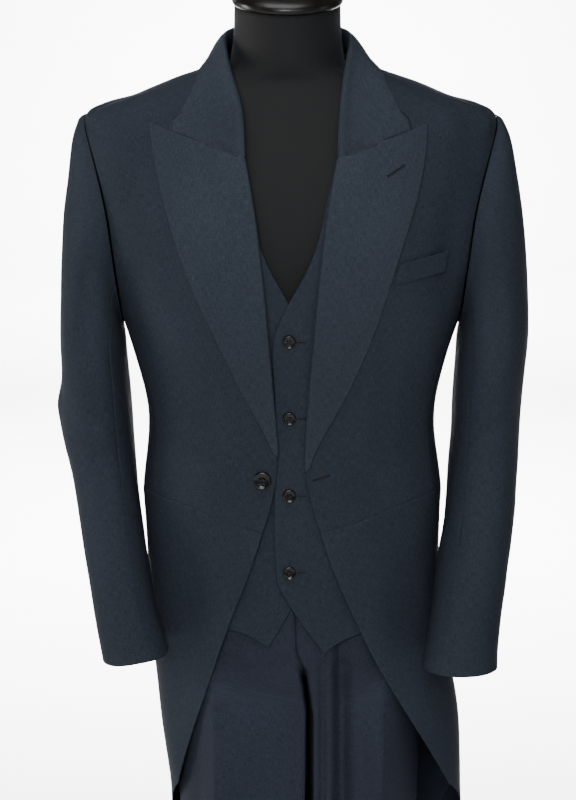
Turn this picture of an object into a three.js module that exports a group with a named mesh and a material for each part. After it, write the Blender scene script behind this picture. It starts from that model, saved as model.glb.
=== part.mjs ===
import * as THREE from 'three';

// A tailcoat suit, coat, waistcoat and trousers, on a dress form without limbs.
// Millimetres, Z up. The wearer faces -Y and the wearer's left is +X.
// The origin is on the floor, under the middle of the form's base.

// Driving sizes
const CLOTH = 2;
const SEAM_GAP = 0.3;
const SHOULDER_HEIGHT = 1437;
const NECK_POINT_HEIGHT = 1497;
const TAIL_HEM = 487;
const TROUSER_HEM = 28;
const TROUSER_WAIST = 1080;
const BAND_DEPTH = 37;
const FORM_BOTTOM = 900;
const ARMHOLE = { height: 1320, halfHeight: 117, halfAngle: 28, step: 18 };
const BASE = { radius: 180, thickness: 12 };
const POLE = { radius: 12.5, x: -60, y: 10 };
const NECK = { radius: 59, x: -4, y: -4.5, top: 1559, tilt: 12 };

const SIDES = { left: 1, right: -1 };
const RAD = Math.PI / 180;

const group = new THREE.Group();

const MATERIALS = {
  wool: new THREE.MeshStandardMaterial({ color: 0x1d1f27, roughness: 0.8, metalness: 0 }),
  facing: new THREE.MeshStandardMaterial({ color: 0x20222b, roughness: 0.7, metalness: 0 }),
  button: new THREE.MeshStandardMaterial({ color: 0x17181d, roughness: 0.4, metalness: 0 }),
  jersey: new THREE.MeshStandardMaterial({ color: 0x101012, roughness: 0.95, metalness: 0 }),
  lacquer: new THREE.MeshStandardMaterial({ color: 0x0c0b0b, roughness: 0.25, metalness: 0 }),
  steel: new THREE.MeshStandardMaterial({ color: 0x3a3b3d, roughness: 0.4, metalness: 0.8 }),
};

function add(name, geometry, material) {
  const mesh = new THREE.Mesh(geometry, MATERIALS[material]);
  mesh.name = name;
  group.add(mesh);
  return mesh;
}

// Curves and tables

const mix = (a, b, t) => a + (b - a) * t;

function smooth(from, to, value) {
  const t = Math.min(1, Math.max(0, (value - from) / (to - from)));
  return t * t * (3 - 2 * t);
}

// A curve through points that never overshoots them
function monotone(xs, ys) {
  const n = xs.length;
  const slope = xs.slice(1).map((x, i) => (ys[i + 1] - ys[i]) / (x - xs[i]));
  const tangent = ys.map((y, i) => {
    if (i === 0) return slope[0];
    if (i === n - 1) return slope[n - 2];
    if (slope[i - 1] * slope[i] <= 0) return 0;
    return 2 * slope[i - 1] * slope[i] / (slope[i - 1] + slope[i]);
  });
  return (x) => {
    let i = 0;
    while (i < n - 2 && x > xs[i + 1]) i += 1;
    const width = xs[i + 1] - xs[i];
    const t = Math.min(1, Math.max(0, (x - xs[i]) / width));
    const near = (1 + 2 * t) * (1 - t) * (1 - t) * ys[i] + t * t * (3 - 2 * t) * ys[i + 1];
    const bend = t * (1 - t) * (1 - t) * tangent[i] - t * t * (1 - t) * tangent[i + 1];
    return near + bend * width;
  };
}

// Rows of numbers under named columns; the first column is the one looked up
function table(columns, rows) {
  const sorted = [...rows].sort((a, b) => a[0] - b[0]);
  const keys = sorted.map((row) => row[0]);
  const curves = columns.slice(1).map((_, c) => monotone(keys, sorted.map((row) => row[c + 1])));
  return (key) => Object.fromEntries(columns.slice(1).map((name, c) => [name, curves[c](key)]));
}

// The body that the coat is cut for

// Half widths to the wearer's left and right, depths, shift of the middle, and roundness
const BODY = table(['z', 'left', 'right', 'front', 'back', 'shift', 'power'], [
  [480, 196, 134, 118, 146, 0, 2.3],
  [640, 197, 138, 118, 149, 0, 2.3],
  [748, 193.5, 150, 118, 149, 0, 2.25],
  [806, 184, 156, 117, 146, 0, 2.15],
  [861, 174, 161, 116, 141, 0, 2.2],
  [903, 170, 163, 115, 135, 0, 2.2],
  [957, 169, 165, 113, 124, 0, 2.25],
  [1000, 172, 169, 111.5, 115, 0, 2.35],
  [1095, 162, 161, 112.5, 99, 0, 2.4],
  [1150, 171, 171, 117.5, 104, 0, 2.4],
  [1193, 184, 184, 123.5, 111, 0, 2.4],
  [1240, 199, 199, 128.5, 117, 0, 2.4],
  [1285, 212, 212, 130, 122, 0, 2.4],
  [1332, 221, 221, 124, 124, 0, 2.4],
  [1380, 228, 228, 109, 120, 0, 2.4],
  [1415, 231, 231, 94, 111, 0, 2.4],
  [1430, 230, 230, 88, 104, 0, 2.4],
  [SHOULDER_HEIGHT, 228, 228, 85, 101, 0, 2.4],
  [1460, 170, 170, 77, 90, 0, 2.4],
  [1480, 120, 120, 71, 79, -1, 2.3],
  [NECK_POINT_HEIGHT, 78, 78, 66, 69, -3, 2.2],
  [1520, 70, 70, 64, 64, -4, 2.1],
]);

// A point of the body's surface, at an angle round from the front (90 is the wearer's left)
function surface(angle, z) {
  const row = BODY(z);
  const s = Math.sin(angle * RAD);
  const c = Math.cos(angle * RAD);
  const reach = (Math.abs(s) ** row.power + Math.abs(c) ** row.power) ** (1 / row.power);
  const side = s > 0 ? row.left : row.right;
  const depth = c > 0 ? row.front : row.back;
  return new THREE.Vector3(row.shift + side * s / reach, -depth * c / reach, z);
}

function outward(angle, z) {
  const stepAngle = 0.05;
  const stepZ = 0.05;
  const round = surface(angle + stepAngle, z).sub(surface(angle - stepAngle, z));
  const up = surface(angle, z + stepZ).sub(surface(angle, z - stepZ));
  return round.cross(up).normalize();
}

// Depth of each layer under the coat's outer surface
const INSET = table(['z', 'waistcoat', 'form'], [
  [840, 4.8, 22],
  [1000, 4.8, 19.5],
  [1030, 4.8, 18],
  [1043, 4.8, 16.4],
  [1080, 4.8, 16.4],
  [1110, 4.8, 17.5],
  [1380, 4.8, 17],
  [1430, 5, 17],
  [1475, 5.6, 17],
  [1500, 5.6, 15],
]);
const BACK_EASE = { from: 100, to: 130, inset: 3 };
const TROUSER_INSET = 12.2;
const BAND_INSET = 12.6;
const BAND_THICKNESS = 3;

// The layers close up where the suit rests, on the upper back
const REST = { height: 1320, spread: 30, waistcoat: 5, form: 10.2 };
function restWeight(angle, z) {
  const back = Math.max(0, -Math.cos(angle * RAD));
  return back * back * Math.exp(-(((z - REST.height) / REST.spread) ** 2));
}

function onBody(angle, z, inset = 0) {
  return surface(angle, z).addScaledVector(outward(angle, z), -inset);
}

// Walls between a grid of outer points and a grid of inner points

// The inner grid at a thickness, from the outer grid's own slopes
function thickened(grid, thickness) {
  const rows = grid.length;
  const columns = grid[0].length;
  return grid.map((row, i) => row.map((p, j) => {
    const across = row[Math.min(columns - 1, j + 1)].clone().sub(row[Math.max(0, j - 1)]);
    const above = grid[Math.min(rows - 1, i + 1)][j];
    const along = above.clone().sub(grid[Math.max(0, i - 1)][j]);
    return p.clone().addScaledVector(across.cross(along).normalize(), -thickness);
  }));
}

function wall(outer, inner, closed = false) {
  const rows = outer.length;
  const columns = outer[0].length;
  const points = [...outer.flat(), ...inner.flat()];
  const at = (layer, i, j) => layer * rows * columns + i * columns + (j % columns);
  const faces = [];
  const quad = (a, b, c, d) => faces.push(a, b, c, a, c, d);
  const spans = closed ? columns : columns - 1;
  for (let i = 0; i < rows - 1; i += 1) {
    for (let j = 0; j < spans; j += 1) {
      quad(at(0, i, j), at(0, i, j + 1), at(0, i + 1, j + 1), at(0, i + 1, j));
      quad(at(1, i, j), at(1, i + 1, j), at(1, i + 1, j + 1), at(1, i, j + 1));
    }
  }
  for (let j = 0; j < spans; j += 1) {
    quad(at(0, 0, j), at(1, 0, j), at(1, 0, j + 1), at(0, 0, j + 1));
    quad(at(0, rows - 1, j), at(0, rows - 1, j + 1), at(1, rows - 1, j + 1), at(1, rows - 1, j));
  }
  if (!closed) {
    for (let i = 0; i < rows - 1; i += 1) {
      const last = columns - 1;
      quad(at(0, i, 0), at(0, i + 1, 0), at(1, i + 1, 0), at(1, i, 0));
      quad(at(0, i, last), at(1, i, last), at(1, i + 1, last), at(0, i + 1, last));
    }
  }
  return solid(points, faces);
}

// Both grids of a wall on a surface: point(a, b) gives a place, and small steps give its normal
function skins(cells, point, thickness) {
  const step = 0.01;
  const outer = cells.map((row) => row.map(([a, b]) => point(a, b)));
  const inner = cells.map((row, i) => row.map(([a, b], j) => {
    const across = point(a + step, b).sub(point(a - step, b));
    const along = point(a, b + step).sub(point(a, b - step));
    return outer[i][j].clone().addScaledVector(across.cross(along).normalize(), -thickness);
  }));
  return [outer, inner];
}

// A closed body from points and triangles, turned so that its faces point out
function solid(points, faces) {
  let volume = 0;
  for (let k = 0; k < faces.length; k += 3) {
    const [a, b, c] = [points[faces[k]], points[faces[k + 1]], points[faces[k + 2]]];
    volume += a.dot(b.clone().cross(c));
  }
  const turned = volume < 0 ? [...faces].reverse() : faces;
  const geometry = new THREE.BufferGeometry().setFromPoints(points);
  geometry.setIndex(turned);
  geometry.computeVertexNormals();
  return geometry;
}

// Draws a grid's edges in, so that neighbours keep the seam gap
function parted(grid, gap = SEAM_GAP) {
  const rows = grid.length;
  const columns = grid[0].length;
  const moved = grid.map((row) => row.map((p) => p.clone()));
  const pull = (i, j, toI, toJ) => {
    const way = grid[toI][toJ].clone().sub(grid[i][j]).setLength(gap / 2);
    moved[i][j].add(way);
  };
  for (let i = 0; i < rows; i += 1) {
    pull(i, 0, i, 1);
    pull(i, columns - 1, i, columns - 2);
  }
  for (let j = 0; j < columns; j += 1) {
    pull(0, j, 1, j);
    pull(rows - 1, j, rows - 2, j);
  }
  return moved;
}

// Outlines as lists of [angle, height], in equal steps along a smooth path

function along(points, steps) {
  const scale = 2.5;
  const gaps = points.slice(1).map(([angle, z], i) => {
    return Math.hypot((angle - points[i][0]) * scale, z - points[i][1]);
  });
  const reach = [0];
  gaps.forEach((gap) => reach.push(reach[reach.length - 1] + gap));
  const angles = monotone(reach, points.map((p) => p[0]));
  const heights = monotone(reach, points.map((p) => p[1]));
  const total = reach[reach.length - 1];
  return Array.from({ length: steps + 1 }, (_, k) => [angles(total * k / steps), heights(total * k / steps)]);
}

const chain = (...parts) => parts.flatMap((part, k) => (k ? part.slice(1) : part));

// Fills four outlines: left and right run up, bottom and top run across
function fill(left, right, bottom, top) {
  const rows = left.length;
  const columns = bottom.length;
  return left.map((_, i) => bottom.map((__, j) => {
    const u = j / (columns - 1);
    const v = i / (rows - 1);
    return [0, 1].map((k) => {
      const sides = mix(left[i][k], right[i][k], u);
      const ends = mix(bottom[j][k], top[j][k], v);
      const lower = mix(left[0][k], right[0][k], u);
      const upper = mix(left[rows - 1][k], right[rows - 1][k], u);
      return sides + ends - mix(lower, upper, v);
    });
  }));
}

// Puts an outline grid on the body, on either side, at an inset that may vary
function placed(cells, side, inset) {
  return cells.map((row) => row.map(([angle, z]) => onBody(side * angle, z, inset(side * angle, z))));
}

// A wall on the body, its outer side at the inset
function panel(name, cells, side, inset, thickness = CLOTH, material = 'wool') {
  const outer = placed(cells, side, inset);
  const inner = placed(cells, side, (angle, z) => inset(angle, z) + thickness);
  add(name, wall(parted(outer), parted(inner)), material);
}

const flush = () => 0;

// The armhole, by its own angle: 0 is its front, 90 its top, -90 its bottom and 180 its back
function armhole(turn) {
  const angle = 90 - ARMHOLE.halfAngle * Math.cos(turn * RAD);
  return [angle, ARMHOLE.height + ARMHOLE.halfHeight * Math.sin(turn * RAD)];
}

function armholePath(from, to) {
  const steps = Math.round(Math.abs(to - from) / ARMHOLE.step);
  return Array.from({ length: steps + 1 }, (_, k) => armhole(mix(from, to, k / steps)));
}

// The coat's body

const FRONT_SEAM_TURN = -54;
const CUTAWAY = [
  [10.9, 983], [14, 955], [20, 910], [27, 863], [37.4, 794], [47, 744], [56.3, 700],
  [70, 662], [90, 641], [101, 605], [109, 558], [115, 522], [122, 499], [134, TAIL_HEM],
];
const FRONT_EDGE = [
  [10.9, 983], [9, 1000], [6.3, 1034], [5.3, 1066], [6.6, 1112], [7.6, 1157], [8.3, 1201],
  [9, 1256], [10.2, 1315], [11.5, 1363], [13, 1405], [17.5, 1445],
];
const NECK_EDGE = [[17.5, 1445], [24, 1468], [38, 1485], [60, 1494], [90, NECK_POINT_HEIGHT]];
const SHOULDER_SEAM = [[90, NECK_POINT_HEIGHT], [90, SHOULDER_HEIGHT]];
const FRONT_WAIST_SEAM = [[10.9, 983], [24, 994], [42, 1011], [63, 1018]];
const SIDE_WAIST_SEAM = [[63, 1018], [110, 1012], [157, 1003]];
const FRONT_SEAM = [[63, 1018], [64, 1090], [66.5, 1170], armhole(FRONT_SEAM_TURN)];
const BACK_SEAM = [[157, 1003], [156.5, 1060], [153, 1130], [146, 1195], [135, 1255], armhole(-180)];
const TAIL_SEAM = [[157, 1003], [157, 760], [158, TAIL_HEM]];
const CENTRE_BACK = [[180, TAIL_HEM], [180, 1003], [180, 1506]];
const BACK_NECK = [[180, 1506], [140, 1504], [90, NECK_POINT_HEIGHT]];
const SKIRT_HEM = [[134, TAIL_HEM], [158, TAIL_HEM]];
const TAIL_HEM_EDGE = [[180, TAIL_HEM], [158, TAIL_HEM]];

const frontSeam = along(FRONT_SEAM, 6);
const backSeam = along(BACK_SEAM, 6);
const tailSeam = along(TAIL_SEAM, 11);
const frontArmhole = armholePath(FRONT_SEAM_TURN, 90);
const frontWaist = along(FRONT_WAIST_SEAM, 8);
const sideWaist = along(SIDE_WAIST_SEAM, 7);

const coatFront = fill(
  chain(along(FRONT_EDGE, 10), along(NECK_EDGE, 4)),
  chain(frontSeam, frontArmhole),
  frontWaist,
  along(SHOULDER_SEAM, 8),
);
const coatSide = fill(frontSeam, backSeam, sideWaist, armholePath(FRONT_SEAM_TURN, -180));
const coatSkirt = fill(
  along(CUTAWAY, 11).reverse(),
  [...tailSeam].reverse(),
  along(SKIRT_HEM, 15),
  chain(frontWaist, sideWaist),
);
const coatBack = fill(
  chain([...tailSeam].reverse(), backSeam, armholePath(-180, -270)),
  chain(along(CENTRE_BACK.slice(0, 2), 11), along(CENTRE_BACK.slice(1), 9), along(BACK_NECK, 2)),
  along([...TAIL_HEM_EDGE].reverse(), 6),
  along([...SHOULDER_SEAM].reverse(), 6),
);

for (const [side, sign] of Object.entries(SIDES)) {
  panel(`coat_front_${side}`, coatFront, sign, flush);
  panel(`coat_side_${side}`, coatSide, sign, flush);
  panel(`coat_skirt_${side}`, coatSkirt, sign, flush);
  panel(`coat_back_${side}`, coatBack, sign, flush);
}

// Lapels, folded back over the fronts, from the waist button up to the gorge

const LAPEL = { lift: 3.2, thickness: 2, rows: 11, columns: 5, roll: 2.2 };
const LAPEL_COLUMNS = ['t', 'rollAngle', 'rollZ', 'edgeAngle', 'edgeZ'];
const LAPEL_TABLES = {
  left: table(LAPEL_COLUMNS, [
    [0, 5.8, 1054, 6.8, 1056],
    [0.12, 6.2, 1090, 10.3, 1082],
    [0.25, 7.1, 1130, 16.8, 1115],
    [0.4, 8, 1182, 24.3, 1172],
    [0.55, 8.6, 1237, 28.3, 1228],
    [0.68, 9.4, 1290, 30.7, 1280],
    [0.8, 10.7, 1340, 33.4, 1323],
    [0.9, 12, 1375, 35.7, 1367],
    [1, 12.8, 1396, 37.5, 1431],
  ]),
  right: table(LAPEL_COLUMNS, [
    [0, 5.6, 1071, 6.6, 1073],
    [0.12, 6.6, 1107, 11, 1100],
    [0.25, 7.5, 1150, 18.2, 1143],
    [0.4, 8.2, 1200, 24.8, 1200],
    [0.55, 8.8, 1250, 29.4, 1248],
    [0.68, 9.6, 1298, 32.1, 1288],
    [0.8, 10.9, 1345, 34.8, 1332],
    [0.9, 12, 1375, 36.7, 1373],
    [1, 12.8, 1396, 39.2, 1432],
  ]),
};

// The lapel stands off its forepart most at the roll line
function lapelPanel(name, side, rows) {
  const grids = [0, LAPEL.thickness].map((depth) => {
    return Array.from({ length: LAPEL.rows + 1 }, (_, i) => {
      const v = i / LAPEL.rows;
      const row = rows(v);
      return Array.from({ length: LAPEL.columns + 1 }, (__, j) => {
        const u = j / LAPEL.columns;
        const roll = LAPEL.roll * (1 - u) ** 2 * Math.sin(Math.PI * v);
        const angle = side * mix(row.rollAngle, row.edgeAngle, u);
        return onBody(angle, mix(row.rollZ, row.edgeZ, u), depth - LAPEL.lift - roll);
      });
    });
  });
  add(name, wall(...grids), 'facing');
}

for (const [side, sign] of Object.entries(SIDES)) {
  lapelPanel(`lapel_${side}`, sign, LAPEL_TABLES[side]);
}

// Collar: a leaf lying on the shoulders, its fold round the neck, and the stand inside

// The leaf's edge is on the body; the fold and the stand's foot are places in space
const COLLAR_TABLE = table(
  ['t', 'edgeAngle', 'edgeZ', 'foldX', 'foldY', 'foldZ', 'footX', 'footY', 'footZ'],
  [
    [0, 32.5, 1428.5, 52, -107.5, 1400.5, 51.5, -102.2, 1398.5],
    [0.14, 32.5, 1445, 54, -93.5, 1433, 53.2, -88.5, 1431],
    [0.28, 37, 1459, 59, -79, 1465, 58, -74.5, 1463],
    [0.42, 49, 1478, 66, -52, 1496, 65, -49.5, 1487],
    [0.58, 90, 1490.5, 70, -6, 1521, 71.5, -6, 1503],
    [0.72, 122, 1490, 62, 36, 1528, 63, 37, 1508],
    [0.86, 153, 1488.5, 38, 60, 1533, 38.5, 60, 1511],
    [1, 180, 1487.5, 0, 69, 1535, 0, 68, 1512],
  ],
);
const COLLAR = { lift: 3.2, stations: 11, thickness: 2, foldRise: 2, foldWidth: 3.4 };

function collarSection(t, side) {
  const row = COLLAR_TABLE(t);
  const edge = onBody(side * row.edgeAngle, row.edgeZ, -COLLAR.lift);
  const shift = mix(0, NECK.x, smooth(1440, 1500, row.foldZ));
  const fold = new THREE.Vector3(side * row.foldX + shift, row.foldY, row.foldZ);
  const foot = new THREE.Vector3(side * row.footX + shift, row.footY, row.footZ);
  const out = edge.clone().sub(fold);
  out.z = 0;
  out.normalize();
  const shoulder = fold.clone().addScaledVector(out, COLLAR.foldWidth);
  shoulder.z -= COLLAR.foldRise;
  const middle = shoulder.clone().lerp(edge, 0.5);
  middle.addScaledVector(out, 0.8 + 0.8 * smooth(0.2, 0.6, t));
  const inner = fold.clone().lerp(foot, 0.12).addScaledVector(out, -0.6);
  return [edge, middle, shoulder, fold, inner, foot];
}

const collarGrid = [];
for (let k = -COLLAR.stations; k <= COLLAR.stations; k += 1) {
  const side = k < 0 ? -1 : 1;
  collarGrid.push(collarSection(1 - Math.abs(k) / COLLAR.stations, side));
}
add('collar', wall(collarGrid, thickened(collarGrid, -COLLAR.thickness)), 'facing');

// Breast welt, on the wearer's left forepart

const WELT = { lift: 2.6, thickness: 2, corners: [[31.3, 1260], [49.3, 1272], [49, 1295], [32, 1283]] };
const weltCells = fill(
  along([WELT.corners[0], WELT.corners[3]], 1),
  along([WELT.corners[1], WELT.corners[2]], 1),
  along([WELT.corners[0], WELT.corners[1]], 4),
  along([WELT.corners[3], WELT.corners[2]], 4),
);
panel('breast_welt', weltCells, SIDES.left, () => -WELT.lift, WELT.thickness);

// Sleeves

const SLEEVE_COLUMNS = ['z', 'outer', 'inner', 'middleY', 'halfDepth'];
const SLEEVE_ROWS = {
  left: [
    [1180, 267.5, 186.5, 0, 78],
    [1138, 263.5, 183.5, 3, 74],
    [1087, 260, 182, 4, 69],
    [1045, 257.5, 178.8, -2, 66],
    [1000, 254.5, 176.5, -17, 63],
    [957, 247.4, 168, -43, 60],
    [914, 241, 161, -64, 57],
    [878, 235, 154.5, -84, 54],
    [833, 229.4, 145.5, -107, 52],
  ],
  right: [
    [1180, 260, 186, 0, 78],
    [1138, 259.5, 183, 3, 74],
    [1100, 262.3, 180, 5, 70],
    [1047, 251.5, 176.5, 0, 66],
    [1000, 243, 172, -14, 63],
    [957, 233.5, 165, -42, 60],
    [914, 226, 156, -67, 57],
    [878, 218, 147.5, -86, 54],
    [840, 210, 136.5, -103, 52],
  ],
};
const SLEEVE = { power: 2.2, capRows: 5, armRows: 7, frontSeam: -36, backSeam: 126, start: 0.4 };

function sleeveSection(side, turn, z) {
  const row = table(SLEEVE_COLUMNS, SLEEVE_ROWS[side])(z);
  const s = Math.sin(turn * RAD);
  const c = Math.cos(turn * RAD);
  const reach = (Math.abs(s) ** SLEEVE.power + Math.abs(c) ** SLEEVE.power) ** (1 / SLEEVE.power);
  const middle = (row.outer + row.inner) / 2;
  const half = (row.outer - row.inner) / 2;
  const x = SIDES[side] * (middle + half * s / reach);
  return new THREE.Vector3(x, row.middleY - row.halfDepth * c / reach, z);
}

// A point of the sleeve: v from 0 to 1 is the cap, from the armhole to the upper arm
function sleevePoint(side, turn, v) {
  const rows = SLEEVE_ROWS[side];
  const top = rows[0][0];
  const hem = rows[rows.length - 1][0];
  if (v > 1) return sleeveSection(side, turn, mix(top, hem, v - 1));
  const sign = SIDES[side];
  const s = Math.sin(turn * RAD);
  const c = Math.cos(turn * RAD);
  const [angle, z] = armhole(turn);
  const away = new THREE.Vector3(0.8 * sign, -0.5 * c, 0.22 * s).normalize();
  const start = onBody(sign * angle, z).addScaledVector(away, SLEEVE.start);
  const end = sleeveSection(side, turn, top);
  const drop = start.z - end.z;
  const lead = start.clone().addScaledVector(away, 3 + 0.055 * drop);
  const trail = end.clone();
  trail.z += drop * 0.55;
  const curve = new THREE.CubicBezierCurve3(start, lead, trail, end);
  return curve.getPoint(v);
}

function sleevePiece(name, side, from, to) {
  const columns = Math.round((to - from) / ARMHOLE.step);
  const rows = SLEEVE.capRows + SLEEVE.armRows;
  const cells = Array.from({ length: rows + 1 }, (_, i) => {
    const v = i <= SLEEVE.capRows ? i / SLEEVE.capRows : 1 + (i - SLEEVE.capRows) / SLEEVE.armRows;
    return Array.from({ length: columns + 1 }, (__, j) => [mix(from, to, j / columns), v]);
  });
  const point = (turn, v) => sleevePoint(side, turn, v);
  const [outer, inner] = skins(cells, point, -CLOTH * SIDES[side]);
  add(name, wall(parted(outer), parted(inner)), 'wool');
}

for (const side of Object.keys(SIDES)) {
  sleevePiece(`top_sleeve_${side}`, side, SLEEVE.frontSeam, SLEEVE.backSeam);
  sleevePiece(`under_sleeve_${side}`, side, SLEEVE.backSeam, SLEEVE.frontSeam + 360);
}

// Waistcoat

const UNDERLAP = { drop: 3.4, from: 9, to: 22 };
const WAISTCOAT_SIDE = [[97, 885], [97, 1040], [97, 1188]];
const WAISTCOAT_ARMHOLE = [
  [97, 1188], [80, 1194], [62, 1222], [50, 1262], [44, 1310], [41, 1360], [40, 1415],
  [44, 1445], [56, 1459], [72, 1465.5], [90, 1466],
];
const WAISTCOAT_SHOULDER = [[90, 1494], [90, 1466]];
const OVER_EDGE = [
  [12.3, 846], [0.3, 896], [-4.4, 917], [-6.3, 940], [-6.3, 1100], [-5.9, 1205], [-4, 1224], [-0.7, 1240],
];
const OVER_NECK = [
  [-0.7, 1240], [4.6, 1271], [8.6, 1325], [11.7, 1385], [15.5, 1440], [30, 1475], [90, 1494],
];
const OVER_HEM = [[12.3, 846], [23, 864], [60, 878], [97, 885]];
const UNDER_EDGE = [
  [9.3, 852], [0.6, 893], [-4, 920], [-5, 950], [-5, 1100], [-5, 1190], [-3.5, 1214], [0.7, 1238],
];
const UNDER_NECK = [
  [0.7, 1238], [6.3, 1274], [11, 1335], [12.4, 1385], [15.5, 1440], [31, 1475], [90, 1494],
];
const UNDER_HEM = [[9.3, 852], [21.5, 870], [60, 880], [97, 885]];

function waistcoatFront(edge, neck, hem) {
  return fill(
    chain(along(edge, 9), along(neck, 8)),
    chain(along(WAISTCOAT_SIDE, 7), along(WAISTCOAT_ARMHOLE, 10)),
    along(hem, 7),
    along(WAISTCOAT_SHOULDER, 7),
  );
}

function overInset(angle, z) {
  const turn = Math.min(Math.abs(angle), 360 - Math.abs(angle));
  const ease = BACK_EASE.inset * smooth(BACK_EASE.from, BACK_EASE.to, turn);
  return INSET(z).waistcoat + ease - REST.waistcoat * restWeight(angle, z);
}

function underInset(angle, z) {
  const lap = 1 - smooth(UNDERLAP.from, UNDERLAP.to, -angle);
  const below = 1 - smooth(1225, 1262, z);
  return overInset(angle, z) + UNDERLAP.drop * lap * below;
}

panel('waistcoat_front_left', waistcoatFront(OVER_EDGE, OVER_NECK, OVER_HEM), SIDES.left, overInset);
panel('waistcoat_front_right', waistcoatFront(UNDER_EDGE, UNDER_NECK, UNDER_HEM), SIDES.right, underInset);

const WAISTCOAT_BACK_ARMHOLE = [
  [97, 1188], [106, 1196], [124, 1235], [138, 1300], [140, 1370], [138, 1430],
  [134, 1448], [122, 1460], [105, 1465.5], [90, 1466],
];
const WAISTCOAT_BACK_NECK = [[90, 1494], [125, 1499], [180, 1500]];
const mirrored = (path) => path.map(([angle, z]) => [360 - angle, z]);
const WAISTCOAT_BACK_HEM = [[97, 885], [180, 882], [263, 885]];
const backEdge = chain(
  along(WAISTCOAT_SIDE, 7),
  along(WAISTCOAT_BACK_ARMHOLE, 8),
  along([...WAISTCOAT_SHOULDER].reverse(), 2),
);
const backNeck = along(WAISTCOAT_BACK_NECK, 6);
const waistcoatBack = fill(
  backEdge,
  mirrored(backEdge),
  along(WAISTCOAT_BACK_HEM, 12),
  chain(backNeck, mirrored(backNeck).reverse()),
);
panel('waistcoat_back', waistcoatBack, SIDES.left, overInset);

// Trousers

// Places across, from the crotch line out, for each leg; the depths are shared
const LEGS = table(
  [
    'z', 'leftInner', 'leftCrease', 'leftOuter', 'rightInner', 'rightCrease', 'rightOuter',
    'front', 'back', 'crotch',
  ],
  [
    [870, 9, 98, 167, 8.6, -83, -148, -92, 120, 0],
    [850, 11.2, 99, 165, 10.8, -84, -146, -94, 121, 0],
    [830, 13.4, 100, 162, 12.6, -85, -144, -96, 121, 0.06],
    [812, 15.4, 101, 159, 14, -86, -142, -98, 121, 0.22],
    [798, 16.6, 101, 157, 14.6, -86, -141, -100, 120, 0.55],
    [787, 17.6, 101, 156, 14.8, -86, -140, -101, 119, 1],
    [740, 18.8, 101.5, 151, 13.5, -86, -136.5, -105, 117, 1],
    [640, 20.5, 102, 146, 10, -86, -129, -107, 112, 1],
    [520, 23, 95, 138, 3, -79, -121, -104, 108, 1],
    [400, 26, 86, 130, -2, -72, -113, -101, 106, 1],
    [250, 28, 77, 120, -8, -64, -105, -98, 106, 1],
    [TROUSER_HEM, 30, 69, 108, -14, -56, -96, -96, 110, 1],
  ],
);
const LEG = {
  seamY: 4, bodyDown: 850, legFrom: 796, creaseAngle: 42, seamGap: 0.5,
  rows: [1042.7, 985, 930, 895, 868, 845, 826, 811, 798, 787, 745, 660, 540, 400, 220, TROUSER_HEM],
};
const PLEATS = [{ angle: 16, depth: 2.2 }, { angle: 27, depth: 2.2 }];

// A pressed fold: it stands up sharply on one side, eases back on the other, and fades out
function pleat(side, share, z) {
  const length = smooth(600, 760, z);
  return PLEATS.reduce((sum, fold) => {
    const place = fold.angle / LEG.creaseAngle;
    const past = (share - place) / 0.2;
    const ridge = past < -0.25 || past > 1 ? 0 : past < 0 ? 1 + past / 0.25 : (1 - past);
    return sum + fold.depth * ridge * length;
  }, 0);
}

// u from 0 to 1 is from the inner edge to the crease, and from 1 to 2 on to the side seam
function trouserPoint(side, u, z, isFront) {
  const sign = SIDES[side];
  const swing = u < 1 ? u * LEG.creaseAngle : mix(LEG.creaseAngle, 90, u - 1);
  const angle = isFront ? sign * swing : sign * (180 - swing);
  const body = onBody(angle, z, TROUSER_INSET);
  body.z = z;
  if (z >= LEG.bodyDown) return body;
  const row = LEGS(z);
  const [inner, crease, outer] = ['Inner', 'Crease', 'Outer'].map((place) => row[side + place]);
  const depth = isFront ? row.front : row.back;
  const pressed = smooth(860, 760, z);
  const leg = new THREE.Vector3(0, 0, z);
  if (u < 1) {
    const start = mix(depth, LEG.seamY, row.crotch);
    const rounded = pressed * row.crotch;
    leg.x = crease + (inner - crease) * (1 - u ** (1 + rounded));
    leg.y = mix(start, depth, u ** mix(2, 1, rounded));
  } else {
    const s = 2 - u;
    leg.x = crease + (outer - crease) * (1 - s ** mix(2.6, 2, pressed));
    leg.y = mix(LEG.seamY, depth, s);
  }
  return body.lerp(leg, smooth(LEG.bodyDown, LEG.legFrom, z));
}

function trouserPanel(name, side, isFront, innerSteps, outerSteps) {
  const steps = innerSteps + outerSteps;
  const cells = LEG.rows.map((z) => Array.from({ length: steps + 1 }, (_, j) => {
    return [j <= innerSteps ? j / innerSteps : 1 + (j - innerSteps) / outerSteps, z];
  }));
  const point = (u, z) => {
    const place = trouserPoint(side, Math.min(2, Math.max(0, u)), z, isFront);
    if (isFront && u < 1) place.y -= pleat(side, u, z) * smooth(0, 0.1, u);
    return place;
  };
  const facing = isFront ? SIDES[side] : -SIDES[side];
  const [outer, inner] = skins(cells, point, CLOTH * facing);
  add(name, wall(parted(outer, LEG.seamGap), parted(inner, LEG.seamGap)), 'wool');
}

for (const side of Object.keys(SIDES)) {
  trouserPanel(`trouser_front_${side}`, side, true, 7, 3);
  trouserPanel(`trouser_back_${side}`, side, false, 3, 3);
}

const ROUND_STEP = 10;
const round = Array.from({ length: 360 / ROUND_STEP }, (_, k) => k * ROUND_STEP - 180);
const bandGrids = [BAND_INSET, BAND_INSET + BAND_THICKNESS].map((inset) => {
  return [TROUSER_WAIST - BAND_DEPTH, TROUSER_WAIST].map((z) => round.map((angle) => {
    const point = onBody(angle, z, inset);
    point.z = z;
    return point;
  }));
});
add('waistband', wall(...bandGrids, true), 'wool');

// The dress form

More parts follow.
